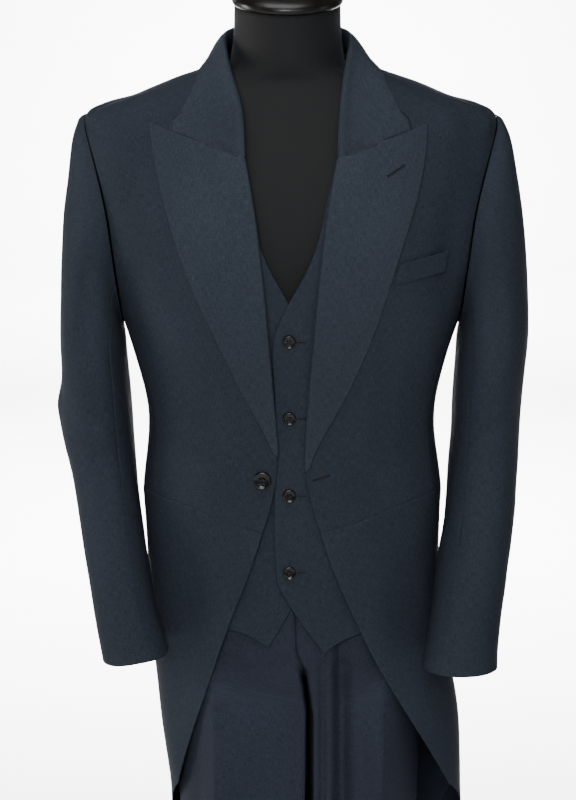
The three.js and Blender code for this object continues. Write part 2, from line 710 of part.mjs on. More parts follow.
// The form's shoulders end inside the armholes
const ARM_INSET = table(['z', 'inset'], [
  [1150, 0], [1203, 5], [1285, 18], [1332, 15], [1380, 9], [1415, 4], [1440, 0],
]);
function formInset(angle, z) {
  const flank = Math.abs(Math.sin(angle * RAD)) ** 8;
  return INSET(z).form - REST.form * restWeight(angle, z) + ARM_INSET(z).inset * flank;
}

const FORM_LEVELS = [
  FORM_BOTTOM, 950, 1000, 1043, 1080, 1125, 1175, 1230, 1285, 1335, 1380, 1412, 1434, 1450, 1466, 1482,
];
const NECK_RINGS = [
  { z: 1489, width: 65, front: 59, back: 57 },
  { z: 1510, width: 61.5, front: 60, back: 54 },
  { z: 1526, width: 59.5, front: 60.5, back: 53 },
];

function formRings() {
  const rings = FORM_LEVELS.map((z) => round.map((angle) => {
    const point = onBody(angle, z, formInset(angle, z));
    if (z < 1200) point.z = z;
    return point;
  }));
  for (const ring of NECK_RINGS) {
    rings.push(round.map((angle) => {
      const c = Math.cos(angle * RAD);
      const depth = c > 0 ? ring.front : ring.back;
      return new THREE.Vector3(NECK.x + ring.width * Math.sin(angle * RAD), -depth * c, ring.z);
    }));
  }
  rings.push(round.map((angle) => {
    const x = NECK.x + NECK.radius * Math.sin(angle * RAD);
    const reach = -NECK.radius * Math.cos(angle * RAD);
    const y = NECK.y + reach * Math.cos(NECK.tilt * RAD);
    return new THREE.Vector3(x, y, NECK.top + reach * Math.sin(NECK.tilt * RAD));
  }));
  return rings;
}

// Closes a stack of rings with a flat cap at each end
function stack(rings) {
  const count = rings[0].length;
  const points = rings.flat();
  const ends = [rings[0], rings[rings.length - 1]].map((ring) => {
    const middle = new THREE.Vector3();
    ring.forEach((p) => middle.addScaledVector(p, 1 / count));
    points.push(middle);
    return points.length - 1;
  });
  const faces = [];
  for (let i = 0; i < rings.length - 1; i += 1) {
    for (let j = 0; j < count; j += 1) {
      const next = (j + 1) % count;
      const [a, b] = [i * count + j, i * count + next];
      faces.push(a, b, b + count, a, b + count, a + count);
    }
  }
  const last = (rings.length - 1) * count;
  for (let j = 0; j < count; j += 1) {
    const next = (j + 1) % count;
    faces.push(ends[0], next, j, ends[1], last + j, last + next);
  }
  return solid(points, faces);
}

add('form_body', stack(formRings()), 'jersey');

// A turned piece with its axis up, from a profile of [radius, height]
function turned(profile, segments) {
  const outline = profile.map(([radius, height]) => new THREE.Vector2(radius, height));
  return new THREE.LatheGeometry(outline, segments).rotateX(Math.PI / 2);
}

const CAP_PROFILE = [[0, 0], [60, 0], [61.5, 3], [60.5, 8], [53, 14], [38, 18.5], [18, 20.8], [0, 21.3]];
const cap = add('neck_cap', turned(CAP_PROFILE, 32), 'lacquer');
cap.rotation.x = NECK.tilt * RAD;
cap.position.set(NECK.x, NECK.y, NECK.top + SEAM_GAP);

const FLANGE = { radius: 50, thickness: 8 };
const flangeBottom = FORM_BOTTOM - SEAM_GAP - FLANGE.thickness;
const flangeProfile = [
  [0, 0], [FLANGE.radius - 1.5, 0], [FLANGE.radius, 1.5],
  [FLANGE.radius, FLANGE.thickness], [0, FLANGE.thickness],
];
add('flange', turned(flangeProfile, 24), 'steel').position.set(POLE.x, POLE.y, flangeBottom);

const poleHeight = flangeBottom - SEAM_GAP - BASE.thickness - SEAM_GAP;
const POLE_FOOT = { radius: 22, height: 9 };
const poleProfile = [
  [0, 0], [POLE_FOOT.radius, 0], [POLE_FOOT.radius, 4], [POLE.radius + 2, POLE_FOOT.height],
  [POLE.radius, 14], [POLE.radius, poleHeight], [0, poleHeight],
];
add('pole', turned(poleProfile, 16), 'steel').position.set(POLE.x, POLE.y, BASE.thickness + SEAM_GAP);

const baseProfile = [
  [0, 0], [BASE.radius, 0], [BASE.radius, BASE.thickness - 3], [BASE.radius - 3, BASE.thickness],
  [0, BASE.thickness],
];
add('base', turned(baseProfile, 40), 'steel');

// Buttons, each on its piece, with a dished top

// Heights above the true curve; a button sits on the flat of a facet, which lies a little lower
const BUTTON_SEAT = { front: 0.45, back: -0.1, cuff: -0.05 };
function button(name, place, facing, diameter, thickness, seat) {
  const r = diameter / 2;
  const profile = [[0, 0], [r, 0], [r, thickness], [r * 0.65, thickness * 0.7], [0, thickness * 0.7]];
  const mesh = add(name, turned(profile, 10), 'button');
  mesh.position.copy(place).addScaledVector(facing, seat);
  mesh.quaternion.setFromUnitVectors(new THREE.Vector3(0, 0, 1), facing);
}

function bodyButton(name, angle, z, inset, diameter, thickness, seat = BUTTON_SEAT.front) {
  button(name, onBody(angle, z, inset), outward(angle, z), diameter, thickness, seat);
}

const COAT_BUTTON = { angle: -10.9, z: 1043, diameter: 20, thickness: 4.5 };
bodyButton('coat_button', COAT_BUTTON.angle, COAT_BUTTON.z, 0, COAT_BUTTON.diameter, COAT_BUTTON.thickness);

const BACK_BUTTON = { angle: 152, z: 1016, diameter: 20, thickness: 4.5 };
for (const [side, sign] of Object.entries(SIDES)) {
  const { angle, z, diameter, thickness } = BACK_BUTTON;
  bodyButton(`back_button_${side}`, sign * angle, z, 0, diameter, thickness, BUTTON_SEAT.back);
}

const WAISTCOAT_BUTTONS = { angle: -0.7, top: 1197.5, pitch: 86.5, count: 4, diameter: 15, thickness: 3.5 };
for (let k = 0; k < WAISTCOAT_BUTTONS.count; k += 1) {
  const { angle, top, pitch, diameter, thickness } = WAISTCOAT_BUTTONS;
  const z = top - k * pitch;
  bodyButton(`waistcoat_button_${k + 1}`, angle, z, overInset(angle, z), diameter, thickness);
}

const CUFF_BUTTONS = { turn: 117, first: 36, pitch: 15, count: 4, diameter: 13, thickness: 3 };

// The way that a sleeve's outside faces, at one place
function sleeveFacing(side, turn, z) {
  const [stepTurn, stepZ] = [6, 5];
  const across = sleeveSection(side, turn + stepTurn, z).sub(sleeveSection(side, turn - stepTurn, z));
  const up = sleeveSection(side, turn, z + stepZ).sub(sleeveSection(side, turn, z - stepZ));
  return across.cross(up).multiplyScalar(SIDES[side]).normalize();
}

for (const side of Object.keys(SIDES)) {
  const { turn, first, pitch, count, diameter, thickness } = CUFF_BUTTONS;
  const hem = SLEEVE_ROWS[side].at(-1)[0];
  for (let k = 0; k < count; k += 1) {
    const z = hem + first + k * pitch;
    const place = sleeveSection(side, turn, z);
    const facing = sleeveFacing(side, turn, z);
    button(`cuff_button_${side}_${k + 1}`, place, facing, diameter, thickness, BUTTON_SEAT.cuff);
  }
}

export default group;
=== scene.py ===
import math

import bpy
import numpy as np
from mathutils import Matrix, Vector
from mathutils.bvhtree import BVHTree
from mathutils.kdtree import KDTree


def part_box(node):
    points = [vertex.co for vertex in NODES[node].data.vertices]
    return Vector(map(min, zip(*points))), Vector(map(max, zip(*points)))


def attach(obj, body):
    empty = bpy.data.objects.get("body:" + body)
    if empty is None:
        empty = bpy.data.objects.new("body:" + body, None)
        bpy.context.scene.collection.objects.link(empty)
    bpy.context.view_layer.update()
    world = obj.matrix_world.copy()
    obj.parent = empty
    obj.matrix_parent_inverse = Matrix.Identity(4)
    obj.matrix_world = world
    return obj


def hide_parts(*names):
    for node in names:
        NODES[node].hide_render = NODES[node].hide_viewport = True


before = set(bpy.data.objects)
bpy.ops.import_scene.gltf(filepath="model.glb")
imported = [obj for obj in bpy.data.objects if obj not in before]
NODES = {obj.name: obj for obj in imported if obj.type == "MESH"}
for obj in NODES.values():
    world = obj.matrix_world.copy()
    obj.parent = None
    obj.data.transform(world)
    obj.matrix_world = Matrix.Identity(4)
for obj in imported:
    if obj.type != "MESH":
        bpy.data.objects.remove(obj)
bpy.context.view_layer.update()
ROOT = "root"
MM = 0.001

# Sizes shared by the cloth pieces
CLOTH_THICKNESS = 1.5 * MM
# How far apart the points of a fine grid are, and how far from each edge two more lines run
CELL = 4.5 * MM
EDGE_STATIONS = (0.9 * MM, 2.2 * MM)
# How deep and how wide a sewn edge turns in
SEAMS = {
    "plain": (0.22 * MM, 1.1 * MM),
    "armhole": (0.6 * MM, 3.2 * MM),
    "waist": (0.35 * MM, 1.2 * MM),
    "fly": (2.0 * MM, 1.9 * MM),
}
WAIST_SEAM = {"coat_front": "H", "coat_side": "H", "coat_skirt": "T"}
# How far the middle of a cloth's edge stands out, as a share of its thickness
ROUNDING = 0.3
# How far the outer cloth turns in behind an open edge, before the lining starts
FACING_WIDTH = 45 * MM


def table(columns, rows):
    """Rows of values under named columns, as a list of dictionaries."""
    return [dict(zip(columns, row)) for row in rows]


def unit(vectors):
    """The same vectors with length 1."""
    length = np.linalg.norm(vectors, axis=-1, keepdims=True)
    return vectors / np.maximum(length, 1e-12)


def smooth(start, end, values):
    """0 before start, 1 after end, and an even rise between them."""
    t = np.clip((np.asarray(values, float) - start) / (end - start), 0, 1)
    return t * t * (3 - 2 * t)


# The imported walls, read back as grids of points

# Points up and across each wall, the columns that stay sharp, which way rows and columns run,
# and which edges are sewn: F first column, B last column, H first row, T last row.
# Then the cut's width and length in metres, the share of them that the piece fills, and how it is held.
WALL_COLUMNS = (
    "kind", "rows", "columns", "sharp", "rows_run", "columns_run", "sewn", "flat", "share", "held",
)
WALLS = table(WALL_COLUMNS, [
    ("coat_front", 15, 9, (), "up", "back", "BHT", (0.245, 0.53), 0.72, "draped"),
    ("coat_side", 7, 8, (), "up", "back", "FBHT", (0.165, 0.32), 0.85, "draped"),
    ("coat_skirt", 12, 16, (), "up", "back", "BT", (0.36, 0.54), 0.75, "draped"),
    ("coat_back", 23, 7, (), "up", "back", "FT", (0.22, 1.03), 0.53, "draped"),
    ("lapel", 12, 6, (), "up", "back", "", (0.13, 0.41), 0.55, "folded"),
    ("breast_welt", 2, 5, (), "up", "back", "FBH", (0.07, 0.026), 0.85, "laid"),
    ("top_sleeve", 13, 10, (), "up", "back", "FBT", (0.22, 0.66), 0.75, "draped"),
    ("under_sleeve", 13, 12, (), "up", "back", "FBT", (0.22, 0.62), 0.7, "draped"),
    ("waistcoat_front", 18, 8, (), "up", "back", "B", (0.25, 0.66), 0.75, "draped"),
    ("waistcoat_back", 18, 13, (), "up", "left", "FB", (0.45, 0.63), 0.85, "draped"),
    ("trouser_front", 16, 11, (7,), "up", "back", "FBT", (0.27, 1.03), 0.85, "draped"),
    ("trouser_back", 16, 7, (3,), "up", "back", "FBT", (0.27, 1.03), 0.85, "draped"),
    ("collar", 23, 6, (), "left", "in", "", (0.075, 0.6), 0.8, "folded"),
])
DIRECTIONS = {
    "up": lambda p: p[..., 2],
    "back": lambda p: p[..., 1],
    "left": lambda p: p[..., 0],
    "in": lambda p: -np.abs(p[..., 0]),
}


def wall_faces(rows, columns):
    """The triangles of a wall between two grids of points, the outer grid's points first."""
    faces = []

    def at(layer, i, j):
        return (layer * rows + i) * columns + j

    def quad(a, b, c, d):
        faces.extend([(a, b, c), (a, c, d)])

    top, last = rows - 1, columns - 1
    for i in range(top):
        for j in range(last):
            quad(at(0, i, j), at(0, i, j + 1), at(0, i + 1, j + 1), at(0, i + 1, j))
            quad(at(1, i, j), at(1, i + 1, j), at(1, i + 1, j + 1), at(1, i, j + 1))
    for j in range(last):
        quad(at(0, 0, j), at(1, 0, j), at(1, 0, j + 1), at(0, 0, j + 1))
        quad(at(0, top, j), at(0, top, j + 1), at(1, top, j + 1), at(1, top, j))
    for i in range(top):
        quad(at(0, i, 0), at(0, i + 1, 0), at(1, i + 1, 0), at(1, i, 0))
        quad(at(0, i, last), at(1, i, last), at(1, i + 1, last), at(0, i + 1, last))
    return faces


def welded(obj):
    """A node's points, each once, and its triangles."""
    mesh = obj.data
    points = np.zeros(len(mesh.vertices) * 3)
    mesh.vertices.foreach_get("co", points)
    points, place = np.unique(np.round(points.reshape(-1, 3), 5), axis=0, return_inverse=True)
    mesh.calc_loop_triangles()
    faces = np.zeros(len(mesh.loop_triangles) * 3, int)
    mesh.loop_triangles.foreach_get("vertices", faces)
    return points, [tuple(f) for f in place.ravel()[faces].reshape(-1, 3).tolist()]


def third_corners(faces):
    """For each directed edge, the third corner of its triangle."""
    return {(f[k], f[(k + 1) % 3]): f[(k + 2) % 3] for f in faces for k in range(3)}


def degrees(faces):
    """How many triangles meet at each point."""
    count = {}
    for face in faces:
        for point in face:
            count[point] = count.get(point, 0) + 1
    return count


def walked(start, ours, theirs, our_degrees, their_degrees):
    """Follows both meshes triangle by triangle from a first pair, or gives None where they differ."""
    found = dict(start)
    if any(our_degrees[a] != their_degrees[b] for a, b in start):
        return None
    corners = [a for a, _ in start]
    todo = [(corners[(k + 1) % 3], corners[k]) for k in range(3)]
    seen = set()
    while todo:
        a, b = todo.pop()
        if (a, b) in seen:
            continue
        c = ours[(a, b)]
        d = theirs.get((found[a], found[b]))
        if d is None or our_degrees[c] != their_degrees[d] or found.setdefault(c, d) != d:
            return None
        seen.update([(a, b), (b, c), (c, a)])
        todo += [(b, a), (c, b), (a, c)]
    return found


def matches(template, packed):
    """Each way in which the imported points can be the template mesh's points."""
    theirs, their_degrees, our_degrees = third_corners(packed), degrees(packed), degrees(template)
    for faces in (template, [face[::-1] for face in template]):
        ours, first = third_corners(faces), faces[0]
        for face in packed:
            for k in range(3):
                start = [(first[n], face[(k + n) % 3]) for n in range(3)]
                found = walked(start, ours, theirs, our_degrees, their_degrees)
                if found:
                    yield [found[n] for n in range(len(found))]


def surface_size(grid):
    """The area of a grid of points."""
    across = grid[:-1, 1:] - grid[:-1, :-1]
    up = grid[1:, :-1] - grid[:-1, :-1]
    return np.linalg.norm(np.cross(across, up), axis=-1).sum()


def wall_grid(node, wall):
    """The outer and the inner grid of a packed wall, with its rows and columns run the usual way."""
    points, faces = welded(NODES[node])
    rows, columns = wall["rows"], wall["columns"]
    orders = matches(wall_faces(rows, columns), faces)
    ways = [points[order].reshape(2, rows, columns, 3) for order in orders]
    grids = min(ways, key=lambda way: np.linalg.norm(way[0] - way[1], axis=-1).max())
    if surface_size(grids[0]) < surface_size(grids[1]):
        grids = grids[::-1]
    upward = DIRECTIONS[wall["rows_run"]](grids[0])
    if upward[0].mean() > upward[-1].mean():
        grids = grids[:, ::-1]
    around = DIRECTIONS[wall["columns_run"]](grids[0])
    if around[:, 0].mean() > around[:, -1].mean():
        grids = grids[:, :, ::-1]
    return grids[0], grids[1]


# Smooth surfaces through those grids

def bends(heights, places):
    """Second derivatives of a cubic curve through evenly bending ends."""
    n = len(places)
    if n < 3:
        return np.zeros_like(heights)
    gaps = np.diff(places)
    matrix = np.zeros((n, n))
    right = np.zeros_like(heights)
    slopes = np.diff(heights, axis=0) / gaps[:, None]
    for i in range(1, n - 1):
        matrix[i, i - 1:i + 2] = gaps[i - 1], 2 * (gaps[i - 1] + gaps[i]), gaps[i]
        right[i] = 6 * (slopes[i] - slopes[i - 1])
    matrix[0, :2] = 1, -1
    matrix[-1, -2:] = 1, -1
    return np.linalg.solve(matrix, right)


def curve(points, stations, corners=()):
    """A smooth curve through points, read at stations counted in points; it may turn sharply at corners."""
    gaps = np.maximum(np.linalg.norm(np.diff(points, axis=0), axis=1), 1e-6)
    places = np.concatenate([[0], np.cumsum(gaps)])
    ends = [0, *sorted(corners), len(points) - 1]
    second = [np.zeros_like(points), np.zeros_like(points)]
    for a, b in zip(ends[:-1], ends[1:]):
        piece = bends(points[a:b + 1], places[a:b + 1])
        second[0][a:b] = piece[:-1]
        second[1][a:b] = piece[1:]
    i = np.minimum(stations.astype(int), len(points) - 2)
    f = (stations - i)[:, None]
    h = gaps[i][:, None]
    straight = points[i] * (1 - f) + points[i + 1] * f
    early, late = second[0][i], second[1][i]
    return straight + h * h / 6 * (((1 - f) ** 3 - (1 - f)) * early + (f ** 3 - f) * late)


def sharp_turns(points, most=24):
    """The points of a line where it turns by more than that many degrees."""
    ways = unit(np.diff(points, axis=0))
    turns = np.degrees(np.arccos(np.clip((ways[1:] * ways[:-1]).sum(1), -1, 1)))
    return tuple(k + 1 for k, turn in enumerate(turns) if turn > most)


def stations_along(lengths, cell, edges):
    """Places to read a curve, counted in its points: a cell apart, and closer beside both ends."""
    stations = [i + k / n for i, n in enumerate(np.ceil(lengths / cell).astype(int)) for k in range(n)]
    total = len(lengths)
    near = [e / lengths[0] for e in edges if e < lengths[0]]
    far = [total - e / lengths[-1] for e in edges if e < lengths[-1]]
    return np.array(sorted(set([*stations, *near, *far, float(total)])))


def refined(grid, sharp=(), cell=CELL, edges=EDGE_STATIONS):
    """A finer grid on the smooth surface through a grid's points."""
    up = np.linalg.norm(np.diff(grid, axis=0), axis=-1).mean(axis=1)
    across = np.linalg.norm(np.diff(grid, axis=1), axis=-1).max(axis=0)
    rows = stations_along(up, cell, edges)
    columns = stations_along(across, cell, edges)
    last = grid.shape[1] - 1
    lines = [
        curve(grid[:, j], rows, sharp_turns(grid[:, j]) if j in (0, last) else ())
        for j in range(last + 1)
    ]
    middle = np.stack(lines, axis=1)
    end = len(rows) - 1
    fine = [
        curve(middle[i], columns, sharp_turns(middle[i]) if i in (0, end) and not sharp else sharp)
        for i in range(end + 1)
    ]
    return np.stack(fine)


def normals_of(points, outside):
    """Unit normals of a grid, turned to the outside."""
    across = np.gradient(points, axis=1)
    up = np.gradient(points, axis=0)
    normals = unit(np.cross(across, up))
    return normals * np.sign((normals * outside).sum())


def lengths_of(points):
    """For each point of a grid, the cloth's length across and up to it, in metres."""
    across = np.zeros(points.shape[:2])
    up = np.zeros(points.shape[:2])
    across[:, 1:] = np.cumsum(np.linalg.norm(np.diff(points, axis=1), axis=-1), axis=1)
    up[1:] = np.cumsum(np.linalg.norm(np.diff(points, axis=0), axis=-1), axis=0)
    return across, up


class Cloth:
    """A piece of cloth as a fine grid of points, with its normals and its lengths across and up."""

    def __init__(self, points, outside, sewn=""):
        self.points = points
        self.normals = normals_of(points, outside)
        self.across, self.up = lengths_of(points)
        self.sewn = sewn

    def from_edge(self, edge):
        """How far each point is from one edge, along the cloth."""
        if edge == "F":
            return self.across
        if edge == "B":
            return self.across[:, -1:] - self.across
        if edge == "H":
            return self.up
        return self.up[-1:] - self.up

    def raised(self, height):
        """Moves the points out along their normals."""
        self.points = self.points + self.normals * height[..., None]


# Materials

def socket(node, name, value):
    """Sets a shader socket's own value, whatever its kind."""
    node.inputs[name].default_value = value


class Shader:
    """A material's nodes, made in short steps."""

    def __init__(self, name):
        self.material = bpy.data.materials.new(name)
        self.material.use_nodes = True
        self.tree = self.material.node_tree
        self.surface = self.tree.nodes["Principled BSDF"]

    def node(self, kind, **values):
        """A new node with those settings."""
        made = self.tree.nodes.new(kind)
        for key, value in values.items():
            setattr(made, key, value)
        return made

    def link(self, source, target):
        """Leads an output to an input."""
        self.tree.links.new(source, target)

    def coordinates(self, scale, kind="UV"):
        """The cloth's own lengths, or the object's place, times a scale on each axis."""
        place = self.node("ShaderNodeTexCoord")
        mapping = self.node("ShaderNodeMapping")
        self.link(place.outputs[kind], mapping.inputs["Vector"])
        socket(mapping, "Scale", scale)
        return mapping.outputs["Vector"]

    def noise(self, scale, detail, kind="UV"):
        """Noise whose grain is 1 / scale wide on each axis."""
        texture = self.node("ShaderNodeTexNoise")
        self.link(self.coordinates(scale, kind), texture.inputs["Vector"])
        socket(texture, "Scale", 1.0)
        socket(texture, "Detail", detail)
        return texture.outputs["Fac"]

    def blend(self, a, b, share):
        """Two greys mixed, with that share of the second."""
        mixer = self.node("ShaderNodeMix", data_type="FLOAT")
        socket(mixer, "Factor", share)
        self.link(a, mixer.inputs["A"])
        self.link(b, mixer.inputs["B"])
        return mixer.outputs["Result"]

    def ramp(self, source, stops):
        """A colour for each grey, from (place, colour) stops."""
        ramp = self.node("ShaderNodeValToRGB")
        self.link(source, ramp.inputs["Fac"])
        ramp.color_ramp.elements[0].position = stops[0][0]
        ramp.color_ramp.elements[0].color = (*stops[0][1], 1)
        ramp.color_ramp.elements[1].position = stops[-1][0]
        ramp.color_ramp.elements[1].color = (*stops[-1][1], 1)
        for place, colour in stops[1:-1]:
            ramp.color_ramp.elements.new(place).color = (*colour, 1)
        return ramp.outputs["Color"]

    def span(self, source, low, high, to_low, to_high):
        """A grey moved from one range to another."""
        mapped = self.node("ShaderNodeMapRange")
        self.link(source, mapped.inputs["Value"])
        for name, value in (("From Min", low), ("From Max", high), ("To Min", to_low), ("To Max", to_high)):
            socket(mapped, name, value)
        return mapped.outputs["Result"]

    def bump(self, source, strength, distance):
        """Shades the surface as if it rose with a grey."""
        bump = self.node("ShaderNodeBump")
        self.link(source, bump.inputs["Height"])
        socket(bump, "Strength", strength)
        socket(bump, "Distance", distance)
        self.link(bump.outputs["Normal"], self.surface.inputs["Normal"])


# A thread's width, how far its shade runs, the weft's share in the weave, and the depth of the weave
THREAD = {"width": 0.9 * MM, "run": 7 * MM, "weft": 0.45, "depth": 0.25 * MM, "strength": 0.35}
PATCHES = {"scale": (9, 4, 1), "share": 0.22}
# The greys of the weave that are dark, middle and light, and those between which the gloss changes
SHADES = (0.36, 0.5, 0.66)
GLOSS = {"greys": (0.35, 0.65), "change": (-0.05, 0.07)}
SHEEN = {"roughness": 0.45, "tint": (0.55, 0.66, 0.85, 1)}


def cloth_material(name, dark, mid, light, roughness, sheen, weave, specular):
    """Fine worsted: warp and weft threads of slightly different shade, crossing."""
    shader = Shader(name)
    warp = shader.noise((1 / THREAD["width"], 1 / THREAD["run"], 1), 3)
    weft = shader.noise((1 / THREAD["run"], 1 / THREAD["width"], 1), 3)
    threads = shader.blend(warp, weft, THREAD["weft"])
    patches = shader.noise(PATCHES["scale"], 2)
    shade = shader.blend(threads, patches, PATCHES["share"])
    colour = shader.ramp(shade, list(zip(SHADES, (dark, mid, light))))
    shader.link(colour, shader.surface.inputs["Base Color"])
    gloss = shader.span(threads, *GLOSS["greys"], *[roughness + change for change in GLOSS["change"]])
    shader.link(gloss, shader.surface.inputs["Roughness"])
    shader.bump(threads, THREAD["strength"] * weave, THREAD["depth"])
    socket(shader.surface, "Specular IOR Level", specular)
    socket(shader.surface, "Sheen Weight", sheen)
    socket(shader.surface, "Sheen Roughness", SHEEN["roughness"])
    socket(shader.surface, "Sheen Tint", SHEEN["tint"])
    return shader.material


# The greys of a hard surface's two colours, those between which its gloss changes, and by how much
MOTTLE = {"shades": (0.35, 0.65), "greys": (0.3, 0.7), "change": (0.85, 1.15), "depth": 0.1 * MM}
COAT_ROUGHNESS = 0.08


def plain_material(name, low, high, roughness, grain, specular, coat, metallic, bump):
    """A hard surface with a little mottling of colour and gloss."""
    shader = Shader(name)
    mottle = shader.noise((grain, grain, grain), 4, "Object")
    colour = shader.ramp(mottle, list(zip(MOTTLE["shades"], (low, high))))
    shader.link(colour, shader.surface.inputs["Base Color"])
    gloss = shader.span(mottle, *MOTTLE["greys"], *[roughness * change for change in MOTTLE["change"]])
    shader.link(gloss, shader.surface.inputs["Roughness"])
    shader.bump(mottle, bump, MOTTLE["depth"])
    socket(shader.surface, "Specular IOR Level", specular)
    socket(shader.surface, "Coat Weight", coat)
    socket(shader.surface, "Coat Roughness", COAT_ROUGHNESS)
    socket(shader.surface, "Metallic", metallic)
    return shader.material


CLOTH_COLUMNS = ("name", "dark", "mid", "light", "roughness", "sheen", "weave", "specular")
CLOTHS = table(CLOTH_COLUMNS, [
    ("wool", (0.0074, 0.0090, 0.0122), (0.0124, 0.0150, 0.0200), (0.0196, 0.0232, 0.0306),
     0.7, 0.001, 1.0, 0.01),
    ("trouser_wool", (0.0072, 0.0084, 0.0122), (0.0122, 0.0140, 0.0200), (0.0192, 0.0218, 0.0312),
     0.66, 0.001, 1.0, 0.012),
    # The facing is the coat's wool about a fifth lighter: its own colour, and painted light on the lapels
    # and collar
    ("facing", (0.0090, 0.0112, 0.0148), (0.0146, 0.0180, 0.0236), (0.0224, 0.0268, 0.0346),
     0.66, 0.001, 1.0, 0.012),
    ("lining", (0.0060, 0.0080, 0.0120), (0.0090, 0.0118, 0.0180), (0.0130, 0.0165, 0.0245),
     0.36, 0.03, 0.4, 0.3),
    ("jersey", (0.0012, 0.0012, 0.0013), (0.0021, 0.0021, 0.0023), (0.0036, 0.0036, 0.0038),
     0.75, 0.03, 1.4, 0.16),
])
WOOL, TROUSER_WOOL, FACING_PAINTED_LIGHT, LINING, JERSEY = [cloth_material(**row) for row in CLOTHS]

HARD_COLUMNS = ("name", "low", "high", "roughness", "grain", "specular", "coat", "metallic", "bump")
HARD_SURFACES = table(HARD_COLUMNS, [
    ("silk_thread", (0.0018, 0.0022, 0.0036), (0.0045, 0.0055, 0.0085), 0.6, 900, 0.15, 0.0, 0.0, 0.1),
    # The slit's near-black colour is painted shadow, the dark inside a buttonhole's cut
    ("slit", (0.001, 0.001, 0.0015), (0.002, 0.002, 0.003), 0.9, 900, 0.1, 0.0, 0.0, 0.1),
    ("horn", (0.0012, 0.0012, 0.0014), (0.0036, 0.0032, 0.0032), 0.2, 260, 0.2, 0.05, 0.0, 0.1),
    ("lacquer", (0.0018, 0.0016, 0.0016), (0.0042, 0.0034, 0.0030), 0.34, 60, 0.16, 0.04, 0.0, 0.1),
    ("steel_paint", (0.018, 0.018, 0.019), (0.03, 0.03, 0.031), 0.42, 500, 0.5, 0.0, 0.3, 0.25),
])
SILK_THREAD, SHADOW, HORN, LACQUER, PAINT = [plain_material(**row) for row in HARD_SURFACES]


# Meshes from grids

def grid_faces(rows, columns, closed=False):
    """The quads of a grid of points, joined round where it is closed."""
    start = np.arange(rows * columns).reshape(rows, columns)
    if closed:
        start = np.concatenate([start, start[:, :1]], axis=1)
    corners = [start[:-1, :-1], start[:-1, 1:], start[1:, 1:], start[1:, :-1]]
    return np.stack(corners, axis=-1).reshape(-1, 4)


def border(rows, columns):
    """The points round a grid's edge, in order, and for each the point next to it inside."""
    index = np.arange(rows * columns).reshape(rows, columns)
    ring = [*index[0, :-1], *index[:-1, -1], *index[-1, :0:-1], *index[:0:-1, 0]]
    inside = [*index[1, :-1], *index[:-1, -2], *index[-2, :0:-1], *index[:0:-1, 1]]
    return np.array(ring), np.array(inside)


def mesh_object(name, points, faces, uv, materials, material_of_face=None):
    """An object from points, quads and a uv for each point, shaded smooth."""
    mesh = bpy.data.meshes.new(name)
    mesh.from_pydata(points.tolist(), [], faces.tolist())
    layer = mesh.uv_layers.new(name="lengths")
    corners = np.zeros(len(mesh.loops), int)
    mesh.loops.foreach_get("vertex_index", corners)
    layer.data.foreach_set("uv", uv[corners].ravel())
    mesh.polygons.foreach_set("use_smooth", np.ones(len(mesh.polygons), bool))
    for material in materials:
        mesh.materials.append(material)
    if material_of_face is not None:
        mesh.polygons.foreach_set("material_index", material_of_face)
    mesh.update()
    obj = bpy.data.objects.new(name, mesh)
    bpy.context.scene.collection.objects.link(obj)
    return obj


def shell(name, cloth, thickness, outside, inside):
    """A thin closed shell: the outer skin, the inner skin and a rounded edge between them."""
    rows, columns = cloth.points.shape[:2]
    count = rows * columns
    outer = cloth.points.reshape(-1, 3)
    normals = cloth.normals.reshape(-1, 3)
    inner = outer - normals * thickness
    ring, next_in = border(rows, columns)
    outward = unit(outer[ring] - outer[next_in])
    middle = (outer[ring] + inner[ring]) / 2 + outward * thickness * ROUNDING
    points = np.concatenate([outer, inner, middle])
    uv = np.stack([cloth.across.ravel(), cloth.up.ravel()], axis=-1)
    uv = np.concatenate([uv, uv, uv[ring]])
    skin = grid_faces(rows, columns)
    back = skin[:, ::-1] + count
    edge = 2 * count + np.arange(len(ring))
    next_edge = np.roll(edge, -1)
    next_ring = np.roll(ring, -1)
    upper = np.stack([ring, edge, next_edge, next_ring], axis=-1)
    lower = np.stack([edge, ring + count, next_ring + count, next_edge], axis=-1)
    faces = np.concatenate([skin, back, upper, lower])
    margin = np.min([cloth.from_edge(e) for e in "FBHT" if e not in cloth.sewn] or [cloth.up + 1], axis=0)
    corner = margin.ravel()[skin[:, 0]]
    kinds = np.concatenate([np.zeros(len(skin), int), (corner > FACING_WIDTH).astype(int),
                            np.zeros(len(upper) + len(lower), int)])
    across = outer[skin[0, 1]] - outer[skin[0, 0]]
    up = outer[skin[0, 3]] - outer[skin[0, 0]]
    if np.cross(across, up) @ normals[skin[0, 0]] < 0:
        faces = faces[:, ::-1]
    return mesh_object(name, points, faces, uv, [outside, inside], kinds)


def finished(obj, slot, *nodes):
    """Puts a piece on the part: it rides on the body and stands for its nodes."""
    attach(obj, ROOT)
    if nodes:
        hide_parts(*nodes)
    return obj
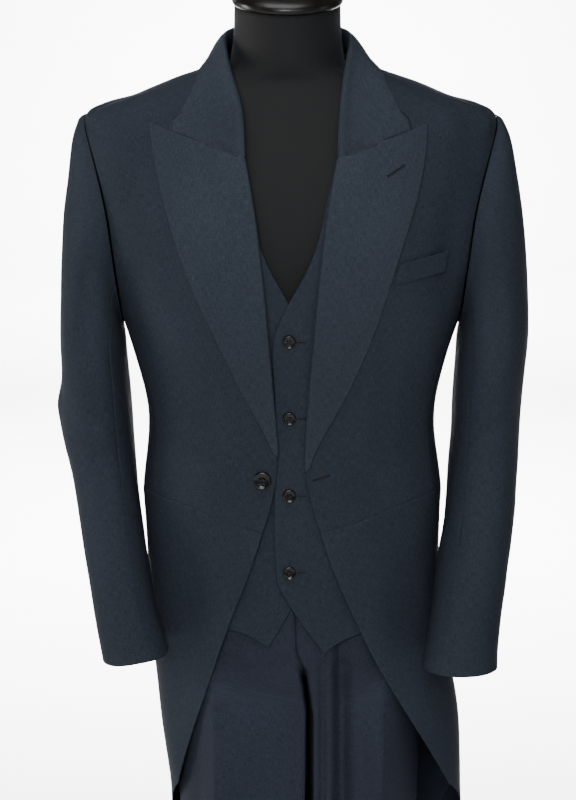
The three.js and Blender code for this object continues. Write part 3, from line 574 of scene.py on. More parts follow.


# Folds of the cloth

# Each runs between two places seen from the front (X, Z) or a side (Y, Z), in millimetres.
# Width and height are of the ridge; a negative height is a trough. Facing is the side it is seen from.
FOLD_COLUMNS = ("piece", "facing", "a0", "z0", "a1", "z1", "bow", "width", "height")
FOLDS = table(FOLD_COLUMNS, [
    # Pleats, and the drape between the creases and the fly
    ("trouser_front_left", "front", 34, 900, 34, 470, 1, 3.4, -4.5),
    ("trouser_front_left", "front", 45, 930, 45, 400, 0, 4.5, 2.4),
    ("trouser_front_left", "front", 57, 930, 57, 400, 0, 9, -15.0),
    ("trouser_front_left", "front", 76, 900, 78, 380, 0, 12, 2.2),
    ("trouser_front_left", "front", 96, 640, 70, 420, 4, 14, -1.8),
    ("trouser_front_right", "front", 6, 870, 9, 400, 0, 8, -3.4),
    ("trouser_front_right", "front", -36, 850, -38, 520, 2, 14, 1.2),
    ("trouser_front_right", "front", -58, 880, -60, 470, 0, 14, 1.4),
    ("trouser_front_right", "front", -108, 760, -104, 470, 2, 9, -2.4),
    ("trouser_front_right", "front", -92, 600, -60, 400, -4, 15, -1.8),
    # Breaks over the shoes, and soft bends behind the knees
    ("trouser_front_left", "front", 30, 92, 108, 78, 4, 13, -4.0),
    ("trouser_front_left", "front", 36, 142, 100, 120, -3, 15, -2.2),
    ("trouser_front_right", "front", -102, 84, -22, 96, -4, 13, -4.0),
    ("trouser_front_right", "front", -98, 128, -30, 148, 3, 15, -2.2),
    ("trouser_back_left", "back", 110, 545, 28, 520, 5, 14, -3.2),
    ("trouser_back_left", "back", 118, 500, 40, 470, -4, 16, -2.2),
    ("trouser_back_right", "back", -24, 530, -104, 548, 5, 14, -3.0),
    ("trouser_back_right", "back", -38, 480, -110, 505, -4, 16, -2.2),
    # Darts under the chest, and the draw of the cloth towards the button
    ("coat_front_right", "front", -124, 1212, -124, 1080, 0, 1.3, -0.6),
    ("coat_front_left", "front", 126, 1205, 126, 1012, 0, 1.3, -0.6),
    ("coat_front_right", "front", -134, 1260, -112, 1060, 3, 11, 0.9),
    ("coat_front_left", "front", 134, 1250, 114, 1040, -3, 11, 0.9),
    ("coat_front_right", "front", -184, 1385, -168, 1215, 4, 18, -4.0),
    ("coat_front_left", "front", 186, 1385, 170, 1215, -4, 18, -4.0),
    ("coat_front_right", "front", -150, 1075, -60, 1040, 4, 10, -0.8),
    ("coat_front_left", "front", 150, 1070, 62, 1035, -4, 10, -0.7),
    ("coat_skirt_right", "front", -118, 980, -132, 760, 5, 18, -1.6),
    ("coat_skirt_left", "front", 120, 980, 150, 760, -5, 18, -1.6),
    ("coat_skirt_right", "front", -86, 960, -100, 800, 2, 16, 1.2),
    ("coat_skirt_left", "front", 88, 960, 108, 800, -2, 16, 1.2),
    # Elbow, and the hang of each sleeve
    ("top_sleeve_right", "front", -236, 1310, -249, 1150, 0, 8, 3.0),
    ("top_sleeve_right", "front", -222, 1300, -233, 1165, 0, 8, -1.4),
    ("top_sleeve_right", "front", -262, 1128, -205, 1088, 5, 9, -2.4),
    ("top_sleeve_right", "front", -258, 1098, -196, 1066, 3, 8, 1.4),
    ("top_sleeve_right", "front", -252, 1072, -192, 1040, 3, 9, -1.6),
    ("top_sleeve_right", "right", -30, 1112, 50, 1106, 2, 19, 3.6),
    ("top_sleeve_right", "right", -25, 1156, 46, 1150, 2, 14, -1.0),
    ("under_sleeve_right", "right", -20, 1110, 70, 1104, 2, 19, 3.4),
    ("top_sleeve_left", "front", 236, 1290, 246, 1130, 0, 9, 1.4),
    ("top_sleeve_left", "front", 220, 1290, 228, 1150, 0, 9, -1.2),
    ("top_sleeve_left", "front", 262, 1110, 206, 1072, -4, 10, -1.7),
    ("top_sleeve_left", "front", 258, 1070, 200, 1036, -4, 10, -1.3),
    ("under_sleeve_left", "left", 66, 1120, -10, 1092, 4, 11, -2.2),
    ("under_sleeve_right", "right", 66, 1086, -10, 1066, -4, 11, -2.2),
    # Back: the blades, the waist and the fall of the tails
    ("coat_back_left", "back", 96, 1400, 70, 1180, 5, 22, -1.6),
    ("coat_back_right", "back", -96, 1400, -72, 1180, -5, 22, -1.6),
    ("coat_back_left", "back", 60, 1120, 34, 1030, 2, 12, -1.3),
    ("coat_back_right", "back", -60, 1120, -36, 1030, -2, 12, -1.3),
    ("coat_back_left", "back", 40, 960, 46, 540, 3, 13, 1.4),
    ("coat_back_right", "back", -30, 960, -28, 540, -3, 13, 1.4),
    ("coat_side_left", "left", -10, 1170, 60, 1060, 6, 14, -1.6),
    ("coat_side_right", "right", -10, 1170, 60, 1060, -6, 14, -1.6),
    # Waistcoat: the pull between its buttons
    ("waistcoat_front_left", "front", 10, 1160, 62, 1140, 2, 7, -0.6),
    ("waistcoat_front_left", "front", 10, 1068, 66, 1058, 2, 7, -0.6),
    ("waistcoat_front_left", "front", 12, 980, 60, 962, 2, 8, -0.7),
    ("waistcoat_front_right", "front", -22, 975, -70, 950, -2, 8, -0.8),
    # Lapels and the roll above the button
    ("lapel_right", "front", -60, 1230, -30, 1120, 2, 12, 0.6),
    ("lapel_left", "front", 56, 1220, 28, 1110, -2, 12, 0.6),
])
# The axis along which each side's places are counted, and the way that it faces
FACINGS = {
    "front": (0, (0, -1, 0)),
    "back": (0, (0, 1, 0)),
    "left": (1, (1, 0, 0)),
    "right": (1, (-1, 0, 0)),
}
# Where a fold starts and ends along its run, and how squarely the cloth has to face its side
FOLD_START = (-0.02, 0.3)
FOLD_END = (0.65, 1.02)
FOLD_SEEN = (0.0, 0.35)


def fold_height(cloth, fold):
    """The height that one fold gives each point of a piece."""
    axis, way = FACINGS[fold["facing"]]
    a, z = cloth.points[..., axis] / MM, cloth.points[..., 2] / MM
    run = np.array([fold["a1"] - fold["a0"], fold["z1"] - fold["z0"]], float)
    length = np.linalg.norm(run)
    run /= length
    t = ((a - fold["a0"]) * run[0] + (z - fold["z0"]) * run[1]) / length
    off = (a - fold["a0"]) * -run[1] + (z - fold["z0"]) * run[0]
    off = off - fold["bow"] * 4 * t * (1 - t)
    taper = smooth(*FOLD_START, t) * (1 - smooth(*FOLD_END, t))
    seen = smooth(*FOLD_SEEN, cloth.normals @ np.array(way, float))
    return fold["height"] * MM * taper * seen * np.exp(-(off / fold["width"]) ** 2)


# The swells' lengths in millimetres, and how much each leans with height
WAVES = table(("length", "lean"), [(150, 0.25), (97, 0.4), (61, 0.3), (43, 0.55)])
# How much of Y joins X in a swell, how the swells of a piece are offset, and how fast they weaken
WAVE = {"share_of_y": 0.6, "piece_offset": 1.7, "wave_offset": 2.1, "weakening": 1.5}


def waves(cloth, height, seed):
    """Slow uneven swells all over a piece."""
    x, y, z = (cloth.points[..., k] / MM for k in range(3))
    across = x + WAVE["share_of_y"] * y
    total = np.zeros(x.shape)
    for k, wave in enumerate(WAVES):
        length = wave["length"]
        offset = seed * WAVE["piece_offset"] + k * WAVE["wave_offset"]
        turn = across * 2 * math.pi / length + z * wave["lean"] * 2 * math.pi / length + offset
        total += np.sin(turn) / (k + WAVE["weakening"])
    return height * MM * total


# The cloth pieces

SIDES = ("left", "right")
PAIRED = [w["kind"] for w in WALLS if w["kind"] not in ("breast_welt", "waistcoat_back", "collar")]
SLOTS = {"lapel": "facing", "collar": "facing"}
# The swells' height in millimetres, by the first word of a piece's name
SWELL = {"coat": 0.35, "top": 0.6, "under": 0.6, "waistcoat": 0.25, "trouser": 0.7, "lapel": 0.12}
# The lapel's roll: its steps, the degrees that each one turns, and its radius
ROLL = {"steps": 5, "turn": 32, "radius": 2.4 * MM}


def with_roll(points, normals):
    """A lapel's grid with its roll line bent back round a soft fold towards the forepart."""
    edge, out = points[:, 0], normals[:, 0]
    inward = unit(points[:, 0] - points[:, 2])
    extra = []
    for k in range(ROLL["steps"], 0, -1):
        turn = math.radians(ROLL["turn"] * k)
        extra.append(edge + ROLL["radius"] * (inward * math.sin(turn) - out * (1 - math.cos(turn))))
    return np.concatenate([np.stack(extra, axis=1), points], axis=1)


# The front of each leg, brought forward between its crease and its inside, so that the fronts hang
# flat. Its change starts and ends between heights in millimetres. The crease's X is by side: the
# wearer's left is 1, the right is -1.
LEG = {
    "start": (250, 420),
    "end": (822, 862),
    "crease": {1: 101 * MM, -1: 86 * MM},
    "pressed_width": 25 * MM,
    "even": 25,
    "corner": 5 * MM,
    "seam_y": 4 * MM,
    "centre_y": -103 * MM,
    "fly_width": 35 * MM,
    "gap": 0.3 * MM,
}
# The fly's line, where the two fronts meet, as height and X in millimetres
FLY = [
    (660, 20.4), (770, 20.4), (797, 17), (822, 14), (832, 11), (841, 7), (850, 5.6), (888, 4.7), (930, 0),
]
# The inner end of one cuff hangs higher: all of it below one height, none of it above the other
HEM_LIFT = {
    "piece": "sleeve_right", "rise": 8.5 * MM, "from": 0.905, "to": 0.835, "outer": -0.215, "inner": -0.150,
}
# The roll at the sleeves' heads, and how far its lower end fades
ROPING = {"height": 1.5 * MM, "centre": 8 * MM, "width": 5 * MM, "lowest": 1.36, "fade": 50 * MM}
# How far up the collar its end is moved, and the gaps to the lapel between which that starts
COLLAR_END = {"reach": 60 * MM, "gaps": (21 * MM, 12 * MM)}


def square_leg(cloth, side):
    """Flattens the front of a leg, and moves its inner edge to the fly's line."""
    p = cloth.points
    x = p[..., 0] * side
    z = p[..., 2] / MM
    crease = np.abs(x - LEG["crease"][side]).argmin(axis=1)
    pressed = p[np.arange(len(p)), crease, 1]
    weights = np.hanning(LEG["even"] + 2)[1:-1]
    around = np.pad(pressed, LEG["even"] // 2, mode="edge")
    front = np.convolve(around, weights / weights.sum(), "valid")[:, None]
    inner = x.min(axis=1, keepdims=True)
    middle = np.take_along_axis(x, crease[:, None], 1)
    outside = np.where(x >= middle, np.exp(-((x - middle) / LEG["pressed_width"]) ** 2), 0)
    p[..., 1] += (front - pressed[:, None]) * outside
    share = smooth(*LEG["start"], z)
    flat = share * (1 - smooth(*LEG["end"], z))
    plane = front + (LEG["centre_y"] - front) * np.clip((middle - x) / (middle - inner), 0, 1)
    corner = np.clip((x - inner) / LEG["corner"], 0, 1)
    back = 1 - np.sqrt(1 - (1 - corner) ** 2)
    wanted = np.minimum(plane + (LEG["seam_y"] - plane) * back, p[..., 1])
    y = np.where(x < middle, p[..., 1] + (wanted - p[..., 1]) * flat, p[..., 1])
    ahead = np.clip((LEG["seam_y"] - y) / (LEG["seam_y"] - plane), 0, 1)
    heights, places = zip(*FLY)
    fly = np.interp(z[:, :1], heights, places) * MM + side * LEG["gap"]
    near = np.exp(-((x - inner) / LEG["fly_width"]) ** 2) * ahead
    p[..., 1] = y
    p[..., 0] += share * near * (fly - side * inner)
    return p


def lifted_hem(points):
    """Raises the inner end of the wearer's right cuff."""
    z = points[..., 2]
    down = 1 - smooth(HEM_LIFT["to"], HEM_LIFT["from"], z)
    inward = smooth(HEM_LIFT["outer"], HEM_LIFT["inner"], points[..., 0])
    points[..., 2] += HEM_LIFT["rise"] * down * inward
    return points


def joined_end(points, row, line):
    """Moves one end of the collar onto the top of its lapel, less and less along the collar."""
    end = points[row]
    gap = np.linalg.norm(end[:, None] - line[None], axis=-1)
    near = gap.argmin(axis=1)
    shift = line[near] - end
    leaf = smooth(*COLLAR_END["gaps"], gap.min(axis=1))
    away = np.linalg.norm(points - end[None], axis=-1)
    fade = 1 - smooth(0, COLLAR_END["reach"], away)
    return points + shift[None] * leaf[None, :, None] * fade[..., None]


def seam_kind(kind, edge):
    """The seam that an edge is sewn with."""
    if "sleeve" in kind and edge == "T":
        return "armhole"
    if kind == "trouser_front" and edge == "F":
        return "fly"
    if WAIST_SEAM.get(kind) == edge:
        return "waist"
    return "plain"


# The fine cloth and the object of each piece, by its node
OUTER = {}
SHELLS = {}


def near_armhole(points):
    """How far each point is from the rim of the sleeves' heads."""
    rim = np.concatenate([OUTER[name].points[-1] for name in OUTER if "sleeve" in name])
    tree = KDTree(len(rim))
    for k, place in enumerate(rim):
        tree.insert(place, k)
    tree.balance()
    away = [tree.find(place)[2] for place in points.reshape(-1, 3)]
    return np.array(away).reshape(points.shape[:2])


def shaped(node, wall):
    """A packed wall as fine cloth, with the shape changes that belong to its piece."""
    outer, inner = wall_grid(node, wall)
    fine = refined(outer, wall["sharp"])
    kind = wall["kind"]
    side = 1 if node.endswith("left") else -1
    if kind == "trouser_front":
        fine = square_leg(Cloth(fine, np.array([0, -1, 0])), side)
    if node.endswith(HEM_LIFT["piece"]):
        fine = lifted_hem(fine)
    if kind == "collar":
        for row, name in ((0, "lapel_right"), (-1, "lapel_left")):
            fine = joined_end(fine, row, OUTER[name].points[-1])
    cloth = Cloth(fine, (outer - inner).mean(axis=(0, 1)), wall["sewn"])
    i, j = outer.shape[0] // 2, outer.shape[1] // 2
    near = np.linalg.norm(cloth.points - outer[i, j], axis=-1)
    place = np.unravel_index(near.argmin(), near.shape)
    if cloth.normals[place] @ (outer[i, j] - inner[i, j]) < 0:
        cloth.normals = -cloth.normals
    if kind == "lapel":
        cloth = Cloth(with_roll(cloth.points, cloth.normals), np.array([0, -1, 0]), wall["sewn"])
    return cloth


def relief(node, wall, cloth):
    """The height of a piece's swells, folds and sewn edges."""
    kind = wall["kind"]
    height = waves(cloth, SWELL.get(node.split("_")[0], 0), len(node))
    for fold in FOLDS:
        if fold["piece"] == node:
            height += fold_height(cloth, fold)
    for edge in cloth.sewn:
        depth, width = SEAMS[seam_kind(kind, edge)]
        height -= depth * np.exp(-(cloth.from_edge(edge) / width) ** 2)
    if "sleeve" in kind:
        away = (cloth.from_edge("T") - ROPING["centre"]) / ROPING["width"]
        high = smooth(ROPING["lowest"], ROPING["lowest"] + ROPING["fade"], cloth.points[..., 2])
        height += ROPING["height"] * high * np.exp(-away ** 2)
    if kind in ("coat_front", "coat_back", "coat_side"):
        depth, width = SEAMS["armhole"]
        height -= depth * np.exp(-(near_armhole(cloth.points) / width) ** 2)
    return height


def cloth_of(kind):
    """The material that a kind of piece is cut from."""
    # Lapels and collar take the facing, whose extra brightness over the wool is painted light
    if kind in SLOTS:
        return FACING_PAINTED_LIGHT
    return TROUSER_WOOL if kind.startswith("trouser") else WOOL


def make_cloth(node, wall):
    """One cloth piece on the part."""
    cloth = shaped(node, wall)
    kind = wall["kind"]
    cloth.raised(relief(node, wall, cloth))
    obj = shell(node + "_cloth", cloth, CLOTH_THICKNESS, cloth_of(kind), LINING)
    finished(obj, SLOTS.get(kind, "wool"), node)
    width, length = wall["flat"]
    OUTER[node] = cloth
    SHELLS[node] = obj


# The sleeves come first, because the coat's armholes are fitted to them
WALLS.sort(key=lambda wall: "sleeve" not in wall["kind"])
for wall in WALLS:
    if wall["kind"] in PAIRED:
        for side in SIDES:
            make_cloth(f"{wall['kind']}_{side}", wall)
    else:
        make_cloth(wall["kind"], wall)

# The waistband's cut in metres, its rows of points, how far apart they are along it, counted in the
# packed wall's points, and how many of those are repeated at its ends
WAISTBAND = {"flat": (0.045, 1.03), "share": 0.92, "rows": 6, "step": 0.25, "overlap": 4}


def waistband():
    """The band as a closed ring, from the outer points of its packed wall."""
    points, _ = welded(NODES["waistband"])
    centre = points.mean(axis=0)
    rings = []
    for high in (False, True):
        level = points[(points[:, 2] > centre[2]) == high]
        angle = np.arctan2(level[:, 1] - centre[1], level[:, 0] - centre[0])
        level = level[np.argsort(angle)]
        pairs = level.reshape(-1, 2, 3)
        radius = np.linalg.norm(pairs[..., :2] - centre[:2], axis=-1)
        rings.append(pairs[np.arange(len(pairs)), radius.argmax(axis=1)])
    steps = np.linspace(0, 1, WAISTBAND["rows"])[:, None, None]
    grid = rings[0][None] * (1 - steps) + rings[1][None] * steps
    over = WAISTBAND["overlap"]
    wide = np.concatenate([grid[:, -over:], grid, grid[:, :over]], axis=1)
    stations = np.arange(over, over + grid.shape[1], WAISTBAND["step"])
    fine = np.stack([curve(row, stations) for row in wide])
    loop = np.concatenate([fine, fine[:, :1]], axis=1)
    cloth = Cloth(loop, loop - centre, "HT")
    obj = shell("waistband_cloth", cloth, CLOTH_THICKNESS, TROUSER_WOOL, LINING)
    finished(obj, "wool", "waistband")
    width, length = WAISTBAND["flat"]


waistband()


# Buttons, buttonholes and stitches

# A direction that none of the cords runs in
ASLANT = (0.31, 0.17, 0.94)


def tube(points, radii, around=8, closed=False):
    """Points and quads of a round cord along a line, with a radius at each point."""
    points = np.asarray(points, float)
    around_ends = np.roll(points, -1, axis=0) - np.roll(points, 1, axis=0)
    ways = unit(around_ends if closed else np.gradient(points, axis=0))
    aside = unit(np.cross(ways, ASLANT))
    other = np.cross(ways, aside)
    turn = np.arange(around) * 2 * math.pi / around
    rings = points[:, None] + np.asarray(radii)[:, None, None] * (
        np.cos(turn)[None, :, None] * aside[:, None] + np.sin(turn)[None, :, None] * other[:, None])
    if closed:
        rings = np.concatenate([rings, rings[:1]])
    return rings.reshape(-1, 3), grid_faces(len(rings), around, closed=True)


def joined_mesh(name, parts, material, slot, *nodes):
    """One object from several (points, quads) parts."""
    points, faces, count = [], [], 0
    for part_points, part_faces in parts:
        points.append(part_points)
        faces.append(part_faces + count)
        count += len(part_points)
    points, faces = np.concatenate(points), np.concatenate(faces)
    obj = mesh_object(name, points, faces, points[:, [0, 2]], [material])
    return finished(obj, slot, *nodes)


# A button's outline from its back over its rim to its middle, as (radius, height) rows. Radii are in
# the button's radius and heights in its thickness, but for the thread's own radius.
BUTTON = {
    "profile": [
        (1.0, 0.0), (1.0, 0.45), (0.985, 0.72), (0.94, 0.92), (0.87, 1.0), (0.80, 0.97), (0.74, 0.86),
        (0.68, 0.74), (0.6, 0.70), (0.5, 0.68), *[(0.06 * k, 0.68) for k in range(7, -1, -1)],
    ],
    "rows": 40,
    "segments": 56,
    "hole": {"reach": 0.20, "radius": 0.115, "depth": 0.5, "floor": 0.7, "rim": 1.2},
    "thread": {"steps": 9, "low": 0.5, "rise": 0.32, "radius": 0.42 * MM},
}


def axis_of(points):
    """A turned node's middle, its own axis turned away from the body, its radius and its thickness."""
    middle = points.mean(axis=0)
    _, ways = np.linalg.eigh(np.cov((points - middle).T))
    aim = ways[:, 0]
    if aim @ (middle * [1, 1, 0]) < 0:
        aim = -aim
    along = (points - middle) @ aim
    radius = np.linalg.norm((points - middle) - along[:, None] * aim, axis=1).max()
    return middle + aim * along.min(), aim, radius, along.max() - along.min()


def dense(profile, steps):
    """A profile with more rows between its own."""
    rows = np.array(profile)
    places = np.linspace(0, len(rows) - 1, steps)
    return np.stack([np.interp(places, np.arange(len(rows)), rows[:, k]) for k in range(2)], axis=1)


def button(node):
    """A four-hole button with a raised rim, and the thread that holds it."""
    points, _ = welded(NODES[node])
    foot, aim, radius, thick = axis_of(points)
    upward = unit(np.array([0, 0, 1.0]) - aim * aim[2])
    across = np.cross(aim, upward)
    rows = dense(BUTTON["profile"], BUTTON["rows"])
    turn = np.arange(BUTTON["segments"]) * 2 * math.pi / BUTTON["segments"]
    x = rows[:, 0][:, None] * np.cos(turn)[None]
    y = rows[:, 0][:, None] * np.sin(turn)[None]
    height = np.repeat(rows[:, 1][:, None], len(turn), axis=1)
    hole = BUTTON["hole"]
    holes = [(sx * hole["reach"], sy * hole["reach"]) for sx in (-1, 1) for sy in (-1, 1)]
    for hx, hy in holes:
        away = np.hypot(x - hx, y - hy)
        sunk = 1 - smooth(hole["radius"] * hole["floor"], hole["radius"] * hole["rim"], away)
        height = height - hole["depth"] * sunk
    flat = foot + radius * (x[..., None] * across + y[..., None] * upward)
    place = flat + thick * height[..., None] * aim
    faces = grid_faces(len(rows), len(turn), closed=True)
    joined_mesh(node + "_face", [(place.reshape(-1, 3), faces)], HORN, "button", node)
    thread = BUTTON["thread"]
    t = np.linspace(0, 1, thread["steps"])
    rise = thread["low"] + thread["rise"] * np.sin(math.pi * t) ** 0.5
    cords = []
    for (ax, ay), (bx, by) in ((holes[0], holes[3]), (holes[1], holes[2])):
        over = (ax + (bx - ax) * t)[:, None] * across
        up = (ay + (by - ay) * t)[:, None] * upward
        line = foot + radius * (over + up) + thick * rise[:, None] * aim
        cords.append(tube(line, np.full(len(t), thread["radius"])))
    joined_mesh(node + "_thread", cords, SILK_THREAD, "button")


for name in [node for node in NODES if "button" in node]:
    button(name)

EVALUATED = bpy.context.evaluated_depsgraph_get()
TREES = {name: BVHTree.FromObject(obj, EVALUATED) for name, obj in SHELLS.items()}
BEFORE = -1.0


def on_cloth(node, x, z):
    """The place and normal on a piece's front, straight back from a place before it, in millimetres."""
    place, normal, _, _ = TREES[node].ray_cast(Vector((x * MM, BEFORE, z * MM)), Vector((0, 1, 0)))
    if place is None:
        return None
    return np.array(place), np.array(normal)


# Each buttonhole: the piece, its eyelet end, its far end and half its width, seen from the front in
# millimetres
HOLE_COLUMNS = ("name", "node", "x0", "z0", "x1", "z1", "bead")
BUTTONHOLES = table(HOLE_COLUMNS, [
    ("lapel_buttonhole", "lapel_left", 104, 1376.5, 123, 1388.5, 0.8),
    ("coat_buttonhole", "coat_front_left", 24, 1042.5, 43, 1048.5, 0.9),
    *[(f"waistcoat_buttonhole_{k}", "waistcoat_front_left", -3, z, 16, z, 0.75)
      for k, z in ((1, 1197.5), (2, 1111), (3, 1024.5), (4, 938))],
])


# The stitches along one side, and their radius and unevenness; how far the eyelet reaches in millimetres,
# and how much wider it is; and the painted shadow in the slit: its steps, share of the length, radius
STITCH = {"steps": 46, "radius": 0.62 * MM, "uneven": 0.22, "rhythm": 2.4, "sides": 7, "above": 0.1 * MM}
EYELET = {"reach": 2.2, "wider": 0.7}
SLIT = {"steps": 14, "part": (0.02, 0.98), "radius": 0.45 * MM, "sides": 6, "above": 0.02 * MM}


def buttonhole(row):
    """A slit with a beaded edge of close stitches, round at its eyelet, and painted shadow along it."""
    steps = STITCH["steps"]
    bead = row["bead"]
    run = np.array([row["x1"] - row["x0"], row["z1"] - row["z0"]], float)
    length = np.linalg.norm(run)
    run /= length
    side = np.array([-run[1], run[0]])
    path = []
    for k in range(2 * steps):
        t = k / steps
        along, off = (t * length, bead) if t < 1 else ((2 - t) * length, -bead)
        wider = 1 + EYELET["wider"] * math.exp(-(along / EYELET["reach"]) ** 2)
        path.append(np.array([row["x0"], row["z0"]]) + run * along + side * off * wider)
    beads, slit = [], []
    for x, z in path:
        found = on_cloth(row["node"], x, z)
        if found is None:
            return
        place, normal = found
        beads.append(place + normal * STITCH["above"])
    swell = [1 + STITCH["uneven"] * math.sin(k * STITCH["rhythm"]) for k in range(len(beads))]
    radii = [STITCH["radius"] * part for part in swell]
    joined_mesh(row["name"], [tube(beads, radii, STITCH["sides"], closed=True)], SILK_THREAD, "wool")
    # Down the middle, a near-black cord of painted shadow, where the cut lies in shade
    for t in np.linspace(*SLIT["part"], SLIT["steps"]):
        x, z = np.array([row["x0"], row["z0"]]) + run * t * length
        place, normal = on_cloth(row["node"], x, z)
        slit.append(place + normal * SLIT["above"])
    line = tube(slit, [SLIT["radius"]] * len(slit), SLIT["sides"])
    joined_mesh(row["name"] + "_slit", [line], SHADOW, "wool")


for row in BUTTONHOLES:
    buttonhole(row)


# The dress form and its stand

def turned(name, profile, centre, material, slot, node, tilt=0.0, segments=96):
    """A turned piece from (radius, height) rows, standing at its centre and tilted forward."""
    angles = np.arange(segments) * 2 * math.pi / segments
    c, s = math.cos(tilt), math.sin(tilt)
    rows = []
    for radius, height in profile:
        x, y = radius * np.sin(angles), -radius * np.cos(angles)
        rows.append(np.stack([x, y * c - height * s, y * s + height * c], axis=-1))
    points = np.stack(rows) + np.array(centre)
    count = points.shape[0]
    faces = grid_faces(count, segments, closed=True)
    uv = np.stack(np.meshgrid(angles, np.arange(count)), axis=-1).reshape(-1, 2)
    obj = mesh_object(name, points.reshape(-1, 3), faces, uv, [material])
    return finished(obj, slot, node)


# The block on the form's neck: (radius, height) rows and the middle of its foot, in millimetres
CAP = {
    "tilt": math.radians(12),
    "foot": (-4, -4.5, 1559.3),
    "profile": [
        (0.01, 0), (59.2, 0), (60.2, 0.5), (61.1, 1.8), (61.5, 3.4), (61.5, 5), (60.9, 7), (59.2, 9.2),
        (56, 11.8), (51, 14.4), (44, 16.8), (35, 18.8), (25, 20.2), (13, 21), (4, 21.3), (0.01, 21.3),
    ],
}
# Edges of the form's body that bend by more than this many degrees stay sharp under its cover
FORM = {"sharp": 50, "subdivisions": 2}
# The base plate's edge: a small step at its foot, and a chamfer with a round in it at its top
BASE_EDGE = {"step": 1 * MM, "chamfer": 4 * MM, "round": 1.2 * MM}
ON_AXIS = 0.1 * MM


def bent_edges(points, faces, least):
    """The edges where two triangles meet at more than that many degrees."""
    normals, sides = {}, {}
    for n, (a, b, c) in enumerate(faces):
        normals[n] = unit(np.cross(points[b] - points[a], points[c] - points[a]))
        for edge in ((a, b), (b, c), (c, a)):
            sides.setdefault(tuple(sorted(edge)), []).append(n)
    limit = math.cos(math.radians(least))
    pairs = {edge: pair for edge, pair in sides.items() if len(pair) == 2}
    return {edge for edge, (one, other) in pairs.items() if normals[one] @ normals[other] < limit}


def form_cover():
    """The form's body in jersey, its facets smoothed away."""
    mesh = NODES["form_body"].data.copy()
    obj = bpy.data.objects.new("form_cover", mesh)
    bpy.context.scene.collection.objects.link(obj)
    points, faces = welded(NODES["form_body"])
    mesh.clear_geometry()
    mesh.from_pydata(points.tolist(), [], faces)
    crease = mesh.attributes.new("crease_edge", "FLOAT", "EDGE")
    bent = bent_edges(points, faces, FORM["sharp"])
    crease.data.foreach_set("value", [float(tuple(sorted(edge.vertices)) in bent) for edge in mesh.edges])
    smoothing = obj.modifiers.new("smooth", "SUBSURF")
    smoothing.levels = smoothing.render_levels = FORM["subdivisions"]
    mesh.materials.clear()
    mesh.materials.append(JERSEY)
    for polygon in mesh.polygons:
        polygon.use_smooth = True
    finished(obj, "jersey", "form_body")


def base_plate():
    """The round plate that the form's pole stands on."""
    low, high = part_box("base")
    radius, height = (high.x - low.x) / 2, high.z
    step, chamfer, bend = BASE_EDGE["step"], BASE_EDGE["chamfer"], BASE_EDGE["round"]
    profile = [
        (ON_AXIS, 0), (radius - step, 0), (radius, step), (radius, height - chamfer),
        (radius - bend, height - bend), (radius - chamfer, height), (ON_AXIS, height),
    ]
    turned("base_plate", profile, (0, 0, 0), PAINT, "steel", "base")


def neck_block():
    """The turned block on top of the form's neck."""
    profile = [(radius * MM, height * MM) for radius, height in CAP["profile"]]
    foot = [place * MM for place in CAP["foot"]]
    turned("neck_block", profile, foot, LACQUER, "lacquer", "neck_cap", CAP["tilt"])


base_plate()
neck_block()
form_cover()

for name in ("flange", "pole"):
    NODES[name].data.materials.clear()
    NODES[name].data.materials.append(PAINT)


# Camera, floor and light

CAMERA = {"place": (-3.4 * MM, -3.0, 1.642), "pitch": 80.0, "lens": 120.8, "sensor": 36, "furthest": 100}


def camera():
    """The photograph's view, from a little above the neck and turned down."""
    data = bpy.data.cameras.new("camera")
    data.lens = CAMERA["lens"]
    data.sensor_width = CAMERA["sensor"]
    data.clip_end = CAMERA["furthest"]
    obj = bpy.data.objects.new("camera", data)
    obj.location = CAMERA["place"]
    obj.rotation_euler = (math.radians(CAMERA["pitch"]), 0, 0)
    bpy.context.scene.collection.objects.link(obj)
    bpy.context.scene.camera = obj


STAGE = {"half_width": 12.0, "front": -12.0, "bend": 10.0, "radius": 2.5, "height": 8.0, "steps": 12}
PALE = {"stops": [(0.3, (0.93, 0.93, 0.935)), (0.7, (0.955, 0.955, 0.955))], "roughness": 0.8}


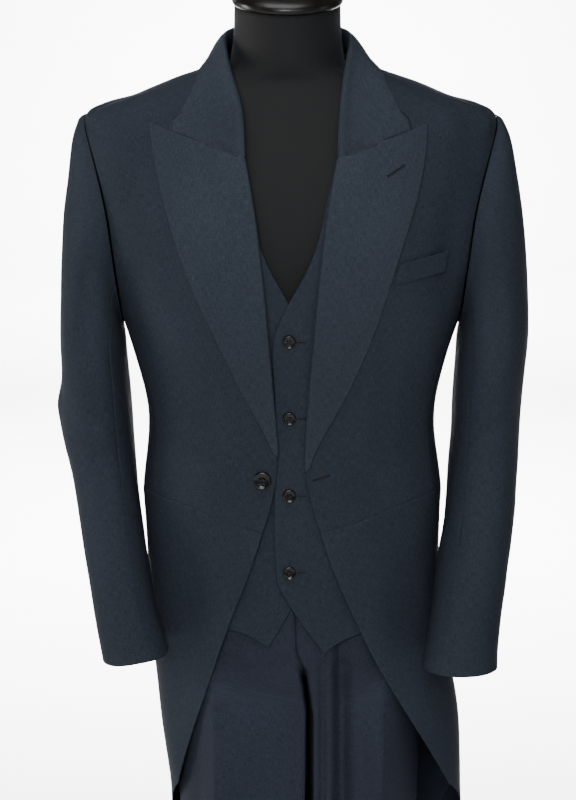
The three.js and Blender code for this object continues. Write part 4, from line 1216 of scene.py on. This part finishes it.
def stage():
    """A pale floor that bends up into a pale wall behind."""
    bend, radius, half_width = STAGE["bend"], STAGE["radius"], STAGE["half_width"]
    profile = [(STAGE["front"], 0.0)]
    for k in range(STAGE["steps"] + 1):
        turn = math.pi / 2 * k / STAGE["steps"]
        profile.append((bend + radius * math.sin(turn), radius * (1 - math.cos(turn))))
    profile.append((bend + radius, STAGE["height"]))
    points = np.array([(x, y, z) for y, z in profile for x in (-half_width, half_width)])
    shader = Shader("stage")
    mottle = shader.noise((3, 3, 3), 3, "Object")
    shader.link(shader.ramp(mottle, PALE["stops"]), shader.surface.inputs["Base Color"])
    socket(shader.surface, "Roughness", PALE["roughness"])
    floor = mesh_object("floor", points, grid_faces(len(profile), 2), points[:, :2], [shader.material])


# Each lamp: its place and aim in metres, its size, how many degrees it spreads, and its watts
LIGHT_COLUMNS = ("name", "place", "aim", "size", "spread", "power", "colour")
LIGHTS = table(LIGHT_COLUMNS, [
    ("key", (-0.35, -3.7, 2.35), (0, 0, 1.15), (1.2, 1.2), 180, 180, (0.95, 0.98, 1.0)),
    ("fill", (1.3, -3.4, 1.9), (0, 0, 1.1), (1.2, 1.6), 180, 24, (0.93, 0.97, 1.0)),
    ("side_left", (3.0, -0.7, 1.7), (0, 0, 1.1), (0.8, 2.0), 180, 14, (1.0, 0.98, 0.95)),
    ("side_right", (-3.1, 0.3, 1.6), (0, 0, 1.1), (0.7, 2.0), 180, 130, (1.0, 0.97, 0.92)),
    ("top", (-0.3, -1.0, 3.9), (0, 0, 1.3), (2.2, 1.6), 180, 115, (1, 1, 1)),
    ("wall", (0, 6.5, 5.0), (0, 11.5, 0.6), (4.0, 1.5), 100, 1500, (1, 1, 1)),
    ("floor", (0, 3.6, 5.0), (0, 4.8, 0), (3.0, 4.0), 90, 1000, (1, 1, 1)),
])
WORLD = {"colour": (1, 1, 1, 1), "strength": 0.1}


def lights():
    """The lamps round the part and behind it, and an even light from all sides."""
    for row in LIGHTS:
        data = bpy.data.lights.new(row["name"], "AREA")
        data.shape = "RECTANGLE"
        data.size, data.size_y = row["size"]
        data.spread = math.radians(row["spread"])
        data.energy = row["power"]
        data.color = row["colour"]
        obj = bpy.data.objects.new(row["name"], data)
        obj.location = row["place"]
        way = Vector(row["aim"]) - Vector(row["place"])
        obj.rotation_euler = way.to_track_quat("-Z", "Y").to_euler()
        bpy.context.scene.collection.objects.link(obj)
    world = bpy.data.worlds.new("world")
    world.use_nodes = True
    background = world.node_tree.nodes["Background"]
    socket(background, "Color", WORLD["colour"])
    socket(background, "Strength", WORLD["strength"])
    bpy.context.scene.world = world


camera()
stage()
lights()
